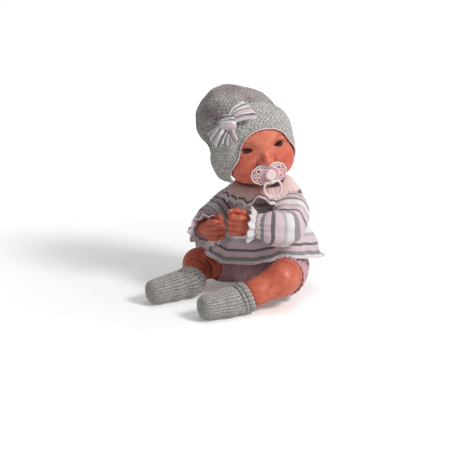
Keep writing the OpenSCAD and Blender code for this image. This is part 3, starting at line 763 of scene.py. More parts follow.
def make_eyes():
    glass = eye_material()
    cornea, iris_reach = 0.04, 9.0
    A, B = np.meshgrid(np.linspace(0, math.pi, 40)[1:-1], circle(56), indexing="ij")
    out = merge(np.sin(A) * np.cos(B), -np.cos(A), np.sin(A) * np.sin(B))
    bulge = 1 + cornea * hill(A, 0.5)
    verts, faces = capped(out * (EYE_R * bulge)[..., None],
                          [[0, -EYE_R * (1 + cornea), 0], [0, EYE_R, 0]])
    for side, name in ((1, "left_eye"), (-1, "right_eye")):
        look = unit(vec(side * -0.06, -1, -0.03))
        angle = np.arccos(np.clip(unit(verts) @ look, -1, 1))
        mesh_object(name + "_ball", HEAD.out(verts + EYE * [side, 1, 1]), faces, "head_group",
                    glass, marks={"iris": np.clip(angle * EYE_R / iris_reach, 0, 1)},
                    replaces=[name], slot="eye")


def make_lashes():
    p = Paint("lash", 0.5, Specular_IOR_Level=0.3)
    lash = p.painted(p.mix(p.noise(0.5, 1), (40, 20, 15), (66, 34, 24)))
    parts = []
    t = np.linspace(0, 1, 6)[:, None]
    for side in (1, -1):
        for i in range(19):
            u = -6.0 + 12.6 * i / 18
            v = LID_UP * (1 - (u / LID_W) ** 2) + 0.1
            long = 1.9 + 1.5 * (u + 6) / 12 + rng.uniform(-0.2, 0.2)
            s = math.sqrt(max((EYE_R + 1.1) ** 2 - u ** 2 - v ** 2, 0))
            root = vec(u, -s, v + LID_SLANT * u)
            lean = vec(0.075 * u + rng.uniform(-0.06, 0.06), -0.75, 0.1)
            curl = vec(0.06 * u, -0.3, 0.75)
            path = root + long * (t * lean + t ** 2 * (curl - lean * 0.4))
            parts.append(tube((path + EYE) * [side, 1, 1], 0.17 * (1 - 0.8 * t[:, 0]), 5))
    verts, faces = joined(parts)
    mesh_object("eyelashes", HEAD.out(verts), faces, "head_group", lash)


# ------------------------------------------------------------------ hat

HAT_R = 57                  # nominal, for the number of stitches and the scale of the pattern
HAT_T = 1.6
BRIM_EDGE, BRIM_W, BRIM_T = -36, 37, 3.0
NAPE_Z = -37
STITCH = 2.6
COLUMNS = 560


def smooth(t):
    t = np.clip(t, 0, 1)
    return t * t * (3 - 2 * t)


def to_head(p):
    """From the hat's frame to the head's."""
    return (p + [0, 0, HAT_RISE]) @ rot_x(HAT_LEAN).T


def looseness(p):
    """How far the knit stands off the head: snug over the left ear, loose over the right."""
    return 9.0 * smooth((6 - p[..., 0]) / 46) * smooth((p[..., 2] + 52) / 26)


def hat_field(p):
    """The knitted crown: it follows the head and slouches in a bag over the right ear."""
    q = to_head(p)
    snug = skull(q) - 1.4 - looseness(p)
    bag = smin(egg(q, (-21.5, 12, 31.5), (43, 46, 42)), egg(q, (-1, 14, 22), (41, 44, 42.5)), 7)
    bag = bag + 0.5 * np.clip(2 - p[..., 2], 0, 60)
    bag = bag + 1.2 * wobble(p, 44, 3) + 0.7 * wobble(p, 20, 4)
    return smin(snug, bag, 5)


def reach(field, turn, h):
    """Distance from the hat's axis to a field's surface, at an angle and a height."""
    turn, h = np.broadcast_arrays(turn, h)
    flat = 0 * turn
    return radial(field, merge(np.cos(turn), np.sin(turn), flat), 100, 20, 40,
                  merge(flat, flat, h))


def rim_height(turn):
    """Height of the hat's lower edge along its axis: level round the face, higher at the nape."""
    a = np.linspace(0, 2 * math.pi, 121)
    h = np.linspace(-60, 40, 81)[:, None]
    w = reach(lambda p: skull(to_head(p)) - looseness(p), a, h)
    z = to_head(merge(w * np.cos(a), w * np.sin(a), h + 0 * a))[..., 2]
    level = np.where(z > NAPE_Z, h, 99).min(0)
    level = smax(BRIM_EDGE - 5 * smooth((-0.1 - np.cos(a)) / 0.8)
                 - 7 * smooth((-0.62 - np.cos(a)) / 0.36), level, 6.0)
    return np.interp(turn, a, level)


def moss(turn, along, columns):
    """Moss stitch, from 0 in the pits to 1 on the stitches, never quite even."""
    shake = 0.9 * np.sin(3.1 * along + 17 * turn) + 0.7 * np.sin(1.7 * along - 41 * turn)
    a = np.cos(turn * columns / 2 + 0.4 * shake) * np.cos(math.pi * along / STITCH + 0.5 * shake)
    return 0.5 + 0.5 * np.tanh(1.3 * a + 0.25 * np.sin(turn * 97 + 5 * along))


def make_hat():
    turn = circle(COLUMNS)
    stitches = 2 * round(math.pi * HAT_R / STITCH)
    edge = rim_height(turn)
    start, rows = edge + 8, 230         # the crown begins behind the turned-up brim
    lift_low = np.arctan2(start, reach(hat_field, turn, start))
    t = np.linspace(0, 1, rows)[:, None]
    lift = lift_low[None] + (math.radians(88.5) - lift_low[None]) * t
    T = np.broadcast_to(turn, lift.shape)
    D = merge(np.cos(T) * np.cos(lift), np.sin(T) * np.cos(lift), np.sin(lift))
    P = D * radial(hat_field, D, far=112, near=30)[..., None]
    along = distance_along(P)
    relief = moss(T, along, stitches)
    fade = np.clip(np.cos(lift) * 3, 0, 1)
    P = P + grid_normals(P, True) * ((relief - 0.5) * 0.9 * fade)[..., None]
    verts, faces, uv, marks = shell(P, HAT_T, True, merge(T * HAT_R, along),
                                    {"relief": relief * fade + (1 - fade) * 0.6})
    # The small hole at the tip is closed by two fans instead of the shell's edge
    n = rows * COLUMNS
    top = [n - COLUMNS + j for j in range(COLUMNS)]
    ends = set(top) | {i + n for i in top}
    keep = [q for q in faces if not set(q) <= ends]
    tip = P[-1].mean(0)
    verts = np.concatenate([verts, [tip, tip - unit(tip) * HAT_T]])
    for j in range(COLUMNS):
        k = (j + 1) % COLUMNS
        keep += [[2 * n, top[j], top[k]], [2 * n + 1, top[k] + n, top[j] + n]]
    uv = np.concatenate([uv, [[0, 0]] * 2])
    marks = {"relief": np.concatenate([marks["relief"], [0.6] * 2])}
    mesh_object("hat_bag", HAT.out(verts), keep, "head_group", HAT_WOOL, uv, marks,
                replaces=["hat_crown"], slot="grey_knit")
    rim = make_brim(turn, edge, stitches)

    # Crocheted edging along the rim: a cord with small scallops
    a = circle(720)
    scallop = np.abs(np.sin(a * 60))
    w = np.interp(a, turn, rim, period=2 * math.pi) + 0.1 + 0.5 * scallop
    path = merge(w * np.cos(a), w * np.sin(a), rim_height(a) - 0.5 - 0.7 * scallop)
    edging("hat_edging", path, 0.75, "head_group", place=HAT)


def make_brim(turn, edge, stitches):
    """Turned-up brim: a closed band over the crown, knitted outside, with rolled edges."""
    profile = [(t, 1.0) for t in np.linspace(0.03, 0.97, 60)]
    profile += [(1.0, 0.75), (1.005, 0.4), (0.98, 0.08)]
    profile += [(t, 0.0) for t in np.linspace(0.9, 0.1, 8)]
    profile += [(0.02, 0.08), (-0.005, 0.4), (0.0, 0.75)]
    s, out = np.array(profile).T[..., None]
    steps = np.linspace(-0.01, 1.01, 30)
    heights = edge + BRIM_W * steps[:, None]
    under = reach(hat_field, turn, heights)
    head = reach(lambda p: skull(to_head(p)), turn, heights)
    low = to_head(merge(head[0] * np.cos(turn), head[0] * np.sin(turn), edge))[:, 2]
    hang = smooth((-20 - low) / 14)
    rise = smooth(steps[:, None] / 0.22)
    rise = rise + (1 - rise) * hang
    base = np.maximum(head + 1.0, (head + 0.9) * (1 - rise) + (under + 0.5) * rise)
    W = np.stack([np.interp(s[:, 0], steps, column) for column in base.T], 1)
    up = BRIM_W * s
    T = np.broadcast_to(turn, W.shape)
    sag = 0.7 * np.sin(3 * T + 1) * s + 0.5 * np.sin(7 * T) * s
    W = W + (BRIM_T * (0.6 + 0.4 * smooth(s * 6)) + 0.9 * np.sin(math.pi * np.clip(s, 0, 1))
             ) * out + sag * out
    relief = moss(T, up + 0 * T, stitches)
    W = W + (relief - 0.5) * 0.85 * ((out > 0.9) * np.clip(np.minimum(s, 1 - s) * 20, 0, 1))
    P = merge(W * np.cos(T), W * np.sin(T), edge + up)
    mesh_object("hat_turned_brim", HAT.out(P.reshape(-1, 3)),
                grid_faces(len(s), COLUMNS, True, wrap_rows=True, flip=True), "head_group",
                BRIM_WOOL, merge(T * HAT_R, up).reshape(-1, 2), {"relief": relief.ravel()},
                replaces=["hat_brim"], slot="pale_knit")
    return W[-1]


# ------------------------------------------------------------------ bow

BOW_TURN, BOW_HEIGHT = -121, -24        # round the hat's axis and along it
LOOPS_TILT, KNOT_TILT = 76, 25


def bow_frame(tilt):
    """Origin under the knot, z away from the hat, x turned by tilt from the hat's axis."""
    a, tilt = math.radians(BOW_TURN), math.radians(tilt)
    z = vec(math.cos(a), math.sin(a), 0)
    around = vec(-z[1], z[0], 0)
    x = vec(0, 0, math.cos(tilt)) + around * math.sin(tilt)
    far = float(np.ravel(reach(hat_field, vec(a), vec(BOW_HEIGHT)))[0]) + BRIM_T + 1.2
    return Frame(HAT.out(z * far + [0, 0, BOW_HEIGHT]),
                 HAT.R @ np.stack([x, np.cross(z, x), z], 1))


def squared(x, power):
    """A sine or cosine made fuller: with both, a circle becomes a rounded square."""
    return np.sign(x) * np.abs(x) ** power


def make_bow():
    # Two folded loops that fan out from the knot, the upper one wider
    bow = bow_frame(LOOPS_TILT)
    a = circle(88)[None]
    t = np.linspace(0, 1, 60)[:, None]
    middle = 11                     # where the cloth's pattern is over the middle of a loop
    for side, name, long, wide, repeat in ((1, "bow_loop_upper", 28, 19, 9.5),
                                           (-1, "bow_loop_lower", 26, 15, 7.5)):
        half = 5.0 + (wide - 5) * t ** 0.85
        thick = 1.6 + 3.6 * np.sin(math.pi * np.clip(t, 0, 0.98) ** 0.9) * (1 - 0.25 * t)
        end = np.sqrt(np.clip(1 - ((t - 0.94) / 0.062).clip(0, 1) ** 2, 0, 1)) * 0.9 + 0.1
        across = half * squared(np.cos(a), 0.8)
        share = across / half
        pleat = (1.5 - 0.9 * t) * np.sin(7.5 * share + side) * np.clip(1.3 - t, 0, 1)
        up = thick * end * squared(np.sin(a), 0.85)
        x = side * (4.0 + long * t * (1 - 0.09 * share ** 2) + 0.6 * np.sin(9 * share) * t)
        drop = -0.0065 * x ** 2 - 0.005 * across ** 2
        P = merge(x, across + 1.2 * np.sin(4 * t) * side, up + pleat + 5.6 + drop)
        uv = merge(long * t, middle + repeat * share)
        if side < 0:
            P, uv = P[:, ::-1], uv[:, ::-1]
        verts, faces = capped(P)
        uv = np.concatenate([uv.reshape(-1, 2), [[0, middle], [long, middle]]])
        mesh_object(name, bow.out(verts), faces, "head_group", BOW_JERSEY, uv,
                    replaces=["bow_loops"], slot="pink")
    # Knot: a wide band gathered round the middle, its stripes across the bow
    knot = bow_frame(KNOT_TILT)
    t = np.linspace(-1, 1, 34)[:, None]
    a = circle(64)[None]
    folds = 0.7 * np.sin(8 * t + 2 * a) + 0.45 * np.sin(15 * t - 3 * a)
    rounded = np.sqrt(1 - 0.985 * np.abs(t) ** 7)
    verts, faces = capped(merge(9.6 * t * (1 - 0.06 * np.cos(2 * a)),
                                (11.0 + folds * 0.6) * rounded * squared(np.cos(a), 0.7),
                                5.8 + (6.0 + folds) * rounded * squared(np.sin(a), 0.75)))
    uv = np.concatenate([merge(a * 8, 8.5 + t * 8.2).reshape(-1, 2), [[0, 1], [0, 16]]])
    mesh_object("bow_knot_band", knot.out(verts), faces, "head_group", KNOT_JERSEY, uv,
                replaces=["bow_knot"], slot="stripe")
    # Tails: two folded strips that hang below the knot, cut square, slightly curled
    t = np.linspace(0, 1, 30)[:, None]
    w = np.linspace(-1, 1, 20)[None]
    for i, side in enumerate((-1, 1)):
        half = 2.4 + 3.0 * t ** 0.7
        angle = math.radians(side * 19 + 4)
        x, y = -6 - 20 * t + 0.6 * w * t, half * w
        z = 2.6 + 0.9 * np.cos(3.1 * w + side) * (0.4 + t) + 1.6 * np.sin(2.6 * t) - 3.2 * t
        P = merge(x * math.cos(angle) - y * math.sin(angle),
                  x * math.sin(angle) + y * math.cos(angle), z)
        sheet_object(f"bow_tail_{i + 1}", knot.out(P.reshape(-1, 3)).reshape(P.shape), 0.9,
                     "head_group", BOW_JERSEY, wrap=False,
                     uv=merge(20 * t, 5.5 + half * w * 0.8 + 2.5 * i),
                     replaces=["bow_tails"], slot="stripe")


# ------------------------------------------------------------------ dummy

SHIELD_SQUASH = 0.86


def mouth_frame():
    """Origin in the middle of the shield's back, z away from the face, x to the doll's left."""
    at = HEAD.into(centre("dummy_shield"))
    R = HEAD.R @ np.array([[1, 0, 0], [0, 0, -1], [0, 1, 0]], float)
    return Frame(HEAD.out([0, at[1] + 1.1, MOUTH_Z]), R)


def shield_outline(count, grow=0.0):
    """Butterfly outline: two round wings, notched under the nose and above the chin."""
    a = circle(count)
    r = (17.5 + 4.0 * np.cos(2 * a) - 2.6 * hill(a - math.pi / 2, 0.3)
         - 1.2 * hill(a - 1.5 * math.pi, 0.3) + 0.35 * np.cos(16 * a) + grow)
    return merge(r * np.cos(a), r * np.sin(a) * SHIELD_SQUASH)


def make_dummy():
    at = mouth_frame()
    soft = {"IOR": 1.46, "Subsurface_Weight": 0.2, "Subsurface_Scale": 0.003}
    clear = plastic("pink_clear_plastic", (246, 196, 204), 0.16, 0.35, **soft)
    pearl = plastic("pearl_plastic", (250, 226, 228), 0.2, 0.15, **soft)

    def curve(x, y):
        """The shield bows round the face."""
        return -0.0055 * x ** 2 - 0.002 * y ** 2

    def wire(outline, z, radius):
        """A closed wire at a height over the shield."""
        path = even(np.insert(outline, 2, z, axis=1), 160, True)
        path[:, 2] += curve(path[:, 0], path[:, 1])
        return tube(path, radius, 9, True)

    # A small plate round the knob, and wings of pierced filigree inside a rounded rim
    s = np.linspace(0.16, 0.56, 10)[:, None]
    x, y = (s * part for part in shield_outline(144).T)
    verts, faces, _, _ = shell(merge(x, y, curve(x, y) + 0.9 + 0.25 * np.cos(s * 9)), 1.3)
    mesh_object("dummy_plate", at.out(verts), faces, "dummy", clear,
                replaces=["dummy_shield"], slot="teat")
    parts = [wire(shield_outline(48, 0.4), 0.8, 1.05), wire(shield_outline(48, -2.6), 1.2, 0.5),
             wire(shield_outline(48) * 0.56, 1.4, 0.7)]
    for side in (-1, 1):
        for k, (cx, cy, r) in enumerate(((13.2, 5.4, 3.1), (13.8, -4.6, 2.9), (7.8, 9.6, 2.6),
                                         (8.4, -9.2, 2.4), (17.6, 0.4, 2.2), (3.0, 10.8, 1.9),
                                         (3.2, -10.6, 1.8), (12.2, 0.3, 1.7))):
            b = np.linspace(0, 2 * math.pi * 1.35, 30)
            spiral = r * (1 - 0.36 * b / b[-1])
            x, y = side * (cx + spiral * np.cos(b + k)), cy + spiral * np.sin(b + k)
            parts.append(tube(merge(x, y, 1.3 + curve(x, y)), 0.62, 7))
    spokes = 28
    for k in range(spokes):
        b = 2 * math.pi * (k + 0.5) / spokes
        inner, edge = (vec(math.cos(b), math.sin(b)) * r for r in (9.6, 16.4))
        line = np.stack([inner, (inner + edge) / 2, edge])
        line[1] += 1.1 * vec(-math.sin(b), math.cos(b)) * (-1) ** k
        x, y = (line * [1.0, SHIELD_SQUASH]).T
        parts.append(tube(spline(merge(x, y, 0.9 + curve(x, y)), 12), 0.5, 6))
    verts, faces = joined(parts)
    mesh_object("dummy_filigree", at.out(verts), faces, "dummy", pearl,
                replaces=["dummy_shield"], slot="teat")

    # Knob: a turned button with a domed, dished face
    profile = [(0.01, 8.3), (2.2, 8.2), (3.6, 8.5), (5.2, 8.4), (6.2, 7.8), (6.5, 6.8), (6.3, 5.6),
               (5.6, 4.9), (4.4, 4.5), (3.9, 3.6), (4.0, 2.4), (4.6, 1.4), (5.6, 0.8), (0.01, 0.7)]
    P = merge(*lathe(profile, 60, 56)) + [0, 0, 0.4]
    mesh_object("dummy_button", at.out(P.reshape(-1, 3)), grid_faces(60, 56, True), "dummy",
                pearl, replaces=["dummy_knob"], slot="teat")
    make_dummy_ring(at, pearl)


def make_dummy_ring(at, pearl):
    """The ring: a rounded D of round wire, with its straight bar in the knob's lug."""
    bar_y, bar_z, ring_r, lug_half = -9, 7.5, 11.0, 2.2
    a = np.linspace(math.radians(133), math.radians(407), 60)
    arc = merge(ring_r * np.cos(a), bar_y - 8.0 + ring_r * np.sin(a))
    xy = np.concatenate([arc, np.linspace(arc[-1], arc[0], 12)[1:-1]])
    verts, faces = tube(even(np.insert(xy, 2, bar_z, axis=1), 120, True), 1.35, 14, True)
    mesh_object("dummy_ring_wire", at.out(verts), faces, "dummy_handle", pearl,
                replaces=["dummy_ring"], slot="teat")
    # Lug under the knob, round the bar
    b, x = circle(40), np.linspace(-lug_half, lug_half, 9)[:, None]
    r = 2.5 - 0.35 * (np.abs(x) / lug_half) ** 6
    verts, faces, _, _ = shell(merge(x, bar_y + r * np.cos(b), bar_z + r * np.sin(b)), 1.0)
    mesh_object("dummy_lug", at.out(verts), faces, "dummy", pearl, replaces=["dummy_knob"],
                slot="teat")


# ------------------------------------------------------------------ arms and hands

SIDES = {"left": 1, "right": -1}
# Shoulder, elbow, wrist and fist, and the way the palm faces
ARMS = {"left": ([[48, -2, 101], [54, -37, 98], [32, -70, 101], [17, -78, 102]],
                 (-0.45, 0.89, 0)),
        "right": ([[-50, -2, 100], [-60, -30, 92], [-51, -67, 81], [-34, -68.5, 84.5]],
                  (-0.3, 0.95, -0.1))}
HAND = 1.15                         # scale of the hand over the sizes in hand_field
FINGER_TOP, FINGER_STEP = 8.2, 5.4
SKIN_GAP = 0.6                      # between a limb's flat end and its joint's plane


def hand_field(p, wrist, fist, medial):
    """A closed baby fist: palm, four curled fingers in a stack, and the thumb across the top.

    With it comes a function from a place on the hand to the doll's frame.
    """
    A = unit(vec(fist) - wrist)
    M = unit(vec(medial) - A * (A @ vec(medial)))
    Z = np.cross(A, M)
    Z = Z if Z[2] > 0 else -Z
    F = vec(fist)
    p = F + (p - F) / HAND

    def at(a, m, z):
        return F + A * a + M * m + Z * z

    def on_hand(a, m, z):
        return F + (A * a + M * m + Z * z) * HAND

    f = cone(p, at(-12, 0, 0), at(-2, 0, 0), 8.6, 10.2)
    f = smin(f, cone(p, at(-1, -1.5, 4), at(0, -1.5, -5), 7.6, 7.0), 5)
    fingers = None
    for i, (far, grow) in enumerate(((11.2, 0.2), (12.4, 0.5), (12.0, 0.3), (10.2, -0.3))):
        z = FINGER_TOP - FINGER_STEP * i
        r = 3.35 + 0.35 * grow
        finger = chain(p, [at(1, -6.5, z * 0.95), at(far - 2.5, -5.6, z), at(far, 0.8, z),
                           at(far - 5, 6.2, z * 0.95), at(1, 5.2, z * 0.9)],
                       [3.9, r + 0.25, r, r - 0.2, r - 0.4], 1.6)
        fingers = finger if fingers is None else smin(fingers, finger, 0.9)
    f = smin(f, fingers, 2.2)
    thumb = chain(p, [at(-7, 3, 5), at(0, 5.5, 10.5), at(7, 3.6, 12.2), at(12, 1.0, 11.6)],
                  [4.6, 4.2, 3.9, 3.3], 2.5)
    return smin(f, thumb, 1.2) * HAND, on_hand


def arm_field(p, path, medial):
    shoulder, elbow, wrist, fist = path
    f = chain(p, [shoulder, elbow, wrist + 0.15 * (elbow - wrist)], [11.6, 11.0, 9.8], 9)
    f = smin(f, hand_field(p, wrist, fist, medial)[0], 5)
    # Wrist crease
    s = (p - wrist) @ unit(fist - wrist)
    return f + hill(norm(p - wrist), 16, 4) * 0.9 * hill(s + 1.5, 1.1)


def make_arm(name):
    path, medial = ARMS[name]
    path = vec(path)
    joint, axis = joint_mm(f"{name}_shoulder"), unit(JOINTS[f"{name}_shoulder"]["axis"])
    axis = axis if axis[0] * SIDES[name] > 0 else -axis

    def field(p):
        # Flat end at the shoulder's disc
        return smax(arm_field(p, path, medial), -((p - joint) @ axis - SKIN_GAP), 1.0)

    verts, faces = net(field, path.min(0) - 19, path.max(0) + 19, 0.95)
    _, at = hand_field(verts[:1], path[2], path[3], medial)
    # Hollows between fingers: painted shade, redder and darker, from how much smoothing filled them
    depth = field(verts + unit(gradient(field, verts, 0.4)) * 1.6) / 1.6
    crease_shade = np.clip((0.93 - depth) * 3.0, 0, 0.85)
    knuckle = sum(hill(norm(verts - at(10, -4.5, FINGER_TOP - FINGER_STEP * i)), 3.2)
                  for i in range(4))
    # Knuckles and fist are redder; the extra redness in the hollows is painted shade
    blush = np.clip(0.5 * knuckle + 0.25 * hill(norm(verts - path[3]), 16)
                    + 0.35 * (depth < 0.95), 0, 1)
    mesh_object(f"{name}_arm_skin", verts, faces, f"{name}_arm_group", SKIN,
                marks={"blush": blush, "crease_shade": crease_shade}, replaces=[f"{name}_arm"], slot="vinyl")
    make_nail(name, at, field)


def make_nail(name, at, field):
    """Small moulded nail on the thumb."""
    p = Paint(f"{name}_nail", 0.25, Subsurface_Weight=0.1, Subsurface_Scale=0.003)
    pink = p.painted(p.mix(p.noise(2, 2), (246, 182, 160), (232, 158, 138)))
    u, v = np.meshgrid(np.linspace(-1, 1, 9), np.linspace(-1, 1, 9), indexing="ij")
    mask = np.sqrt(np.maximum(u ** 2, v ** 2) / np.maximum(u ** 2 + v ** 2, 1e-9))
    along, across = unit(at(1, 0, 0) - at(0, 0, 0)), unit(at(0, 1, 0) - at(0, 0, 0))
    P = at(12.6, 1.2, 14.6) + (u * mask * 2.0)[..., None] * along \
        + (v * mask * 1.6)[..., None] * across
    flat = P.reshape(-1, 3)
    for _ in range(4):
        flat = settle(field, flat)
    P = (flat + unit(gradient(field, flat)) * 0.25).reshape(P.shape)
    sheet_object(f"{name}_thumb_nail", P, 0.5, f"{name}_arm_group", pink, wrap=False)


# ------------------------------------------------------------------ legs and socks

# Hip, knee, ankle, the ball of the foot and the toes
LEGS = {"left": [[46, -12, 31], [62, -58, 35], [40, -102, 19], [32, -122, 17.2], [20, -146, 16]],
        "right": [[-45, -12, 31], [-65, -60, 31], [-51, -94, 20], [-58, -118, 17.2],
                  [-66, -142, 16]]}


def leg_field(p, P):
    f = chain(p, P[:2], [20.6, 20.4], 1)
    f = smin(f, cone(p, P[1], P[2], 20.0, 13.6), 6)
    f = smin(f, ball(p, P[1] * 0.35 + P[2] * 0.65, 15.4), 6)
    f = smin(f, ball(p, P[0] * 0.4 + P[1] * 0.6 + [0, 0, 1.5], 20.6), 8)
    f = smin(f, chain(p, P[2:], [13.2, 12.6, 10.0], 4), 5)
    # Folds of fat under the knee and over the ankle
    shin, thigh = unit(P[2] - P[1]), unit(P[0] - P[1])
    fold = hill((p - P[1]) @ shin - 9 - 0.1 * ((p - P[1]) @ thigh), 1.5)
    back = np.clip(((p - P[1]) @ unit(thigh + shin)) / 12, 0, 1)
    f = f + 1.8 * fold * back * hill(norm(p - P[1]), 32, 6)
    ankle = (p - P[2]) @ shin
    return f + 0.9 * hill(ankle + 7, 1.4) * hill(norm(p - P[2]), 24, 6)


def make_leg(name):
    path, side = vec(LEGS[name]), SIDES[name]
    joint = joint_mm(f"{name}_hip")

    def field(p):
        return smax(leg_field(p, path), -(side * (p[:, 0] - joint[0]) - SKIN_GAP), 1.0)

    verts, faces = net(field, path.min(0) - 24, path.max(0) + 24, 1.5)
    # Painted shade: the hollows are darker and redder, from how much smoothing filled them
    depth = field(verts + unit(gradient(field, verts, 0.6)) * 3.0) / 3.0
    crease_shade = np.clip((0.96 - depth) * 1.6, 0, 0.7)
    knee = hill(norm(verts - (path[1] + [0, -10, 8])), 15)
    # Painted shade: the skin within 14 mm of the floor is redder
    low = np.clip(1 - verts[:, 2] / 14, 0, 1) * 0.45
    blush = np.clip(0.5 * knee + low + 0.3 * (depth < 0.97), 0, 1)
    mesh_object(f"{name}_leg_skin", verts, faces, f"{name}_leg_group", SKIN,
                marks={"blush": blush, "crease_shade": crease_shade}, replaces=[f"{name}_leg"], slot="vinyl")


SOCK_T = 2.6


def foot_angle(p, path):
    """Angle round the middle line of the foot."""
    line = even(path[2:], 40)
    line = np.concatenate([[2 * line[0] - line[4]], line])
    nearest = norm(p[:, None] - line[None]).argmin(1)
    off = p - line[nearest]
    side = unit(np.cross(unit(np.gradient(line, axis=0))[nearest], vec(0, 0, 1)))
    return np.arctan2(off @ vec(0, 0, 1), (off * side).sum(1))


def make_sock(name):
    P = vec(LEGS[name])
    up_leg = unit(P[1] - P[2])

    def plain(p):
        f = chain(p, P[2:], [14 + SOCK_T, 14 + SOCK_T, 13 + SOCK_T], 5)
        f = smin(f, cone(p, P[2] + 2 * up_leg, P[2] - 5 * up_leg, 16.2 + SOCK_T, 15.6 + SOCK_T), 3)
        f = smax(f, (p - P[4]) @ unit(P[4] - P[3]) - 12.4, 7)
        f = f + 0.5 * wobble(p, 20, 5)
        # Two tight rings round the ankle, fuller between and above them, and a flat top
        s = (p - P[2]) @ up_leg
        for at in (-2.5, -7.5):
            f = f + 2.0 * hill(s - at, 0.8)
        f = f - 0.7 * hill(s + 5, 1.4) - 0.9 * hill(s - 2.5, 2.4)
        return smax(smax(f, s - 5.5, 1.6), 0.35 - p[:, 2], 1.0)

    def ribs(p):
        angle, s = foot_angle(p, P), (p - P[2]) @ up_leg
        cuff = np.cos(angle * 22) * 0.8 + 0.2 * np.cos(s * 2 * math.pi / STITCH)
        return np.where(s > -9, cuff, np.cos(angle * 26))

    verts, faces = net(plain, P[2:].min(0) - 22, P[2:].max(0) + 22, 1.0)
    relief = 0.5 + 0.5 * ribs(verts)
    flat = np.clip((verts[:, 2] - 0.8) / 1.5, 0, 1)
    verts = verts + unit(gradient(plain, verts)) * ((relief - 0.5) * 0.75 * flat)[:, None]
    verts[:, 2] = np.maximum(verts[:, 2], 0.15)
    mesh_object(f"{name}_sock_knit", verts, faces, f"{name}_leg_group", SOCK_WOOL,
                marks={"relief": 0.15 + 0.85 * relief}, replaces=[f"{name}_sock"],
                slot="sock_knit")


# ------------------------------------------------------------------ tunic

NECK = joint_mm("head_tilt")
SKIRT_HEM = [[-8, -66, 45], [28, -57, 49], [55, -38, 57], [72, -2, 52], [66, 30, 45],
             [36, 52, 43], [0, 57, 42], [-38, 50, 43], [-64, 30, 47], [-75, -4, 53],
             [-71, -42, 57], [-47, -67, 47]]


def ring(at, radii, turn):
    """Points of a level ellipse: turn is 0 in front and grows towards the doll's left."""
    return merge(at[0] + radii[0] * np.sin(turn), at[1] - radii[1] * np.cos(turn), at[2])


def make_tunic():
    n, rows = 420, 150
    hem = spline(SKIRT_HEM, n, closed=True)
    turn = np.unwrap(np.arctan2(hem[:, 0], -hem[:, 1]))
    rings = [ring((NECK[0], NECK[1], 113.8), (29.5, 29.5), turn),
             ring((NECK[0] * 0.5, NECK[1] * 0.5, 112.2), (36, 34), turn),
             ring((0, 0, 107.5), (43, 37.5), turn),
             ring((0, 0, 97), (49.5, 41.5), turn),
             ring((0, -1, 84), (54.5, 46), turn)]
    rings += [hem * [0.5, 0.5, 0] + rings[-1] * [0.5, 0.5, 0] + [0, 0, 68],
              hem * [0.93, 0.93, 1] + [0, 0, 3.2], hem]
    control = np.stack(rings)
    P = np.stack([even(control[:, j], rows) for j in range(n)], 1)
    v = np.linspace(0, 1, rows)[:, None]
    grow = np.clip((v - 0.25) / 0.75, 0, 1) ** 1.4
    r = np.random.default_rng(11)
    waves = sum(a * np.sin(k * turn + r.uniform(0, 6.3) + 0.9 * v)
                for k, a in ((5, 1.3), (8, 1.5), (13, 1.2), (19, 0.8), (27, 0.35)))
    out = unit(P * [1, 1, 0] + [0, 0, 1e-6])
    P = P + out * (waves * grow * 1.25 - 0.3)[..., None]
    # One deep fold at the doll's right, and gathers under the collar
    fold = 5.0 * hill(turn + 0.95, 0.16) * grow
    P = P + out * fold[..., None] + merge(0, 0, 0.7 * fold)
    gather = 0.55 * np.sin(turn * 46 + 2 * np.sin(turn * 5)) * hill(v - 0.02, 0.12)
    P = P + grid_normals(P, True) * (gather + 0.5 * wobble(P, 24, 9) * (1 - grow))[..., None]
    from_hem = distance_along(P[::-1])[::-1]
    from_hem = from_hem.mean(1, keepdims=True) * 0.6 + from_hem * 0.4
    sheet_object("tunic_body", P[:, ::-1], 1.1, "torso", STRIPED,
                 uv=merge(turn * 60, from_hem)[:, ::-1], replaces=["tunic"], slot="stripe")
    edging("tunic_hem_edging", P[-1], 0.95, "torso", 0.9)


def make_buttons():
    pearl = plastic("button_pearl", (240, 236, 232), 0.18)
    low, high = box_mm("tunic_buttons")
    count, half, thick = 3, 4, 1.6
    profile = [(0.01, 1.3), (1.6, 1.2), (2.6, 1.5), (3.3, 2.1), (3.9, 1.9), (4.0, 1.2), (3.6, 0.5),
               (0.01, 0.4)]
    x, up, out = lathe(profile, 40, 40)
    for i in range(count):
        share = i / (count - 1)
        z = high[2] - half - (high[2] - low[2] - 2 * half) * share
        P = merge(x, low[1] + (high[1] - low[1] - thick) * share + out, z + up)
        mesh_object(f"tunic_button_{i + 1}", P.reshape(-1, 3),
                    grid_faces(40, 40, True, flip=True), "torso", pearl,
                    replaces=["tunic_buttons"], slot="button")


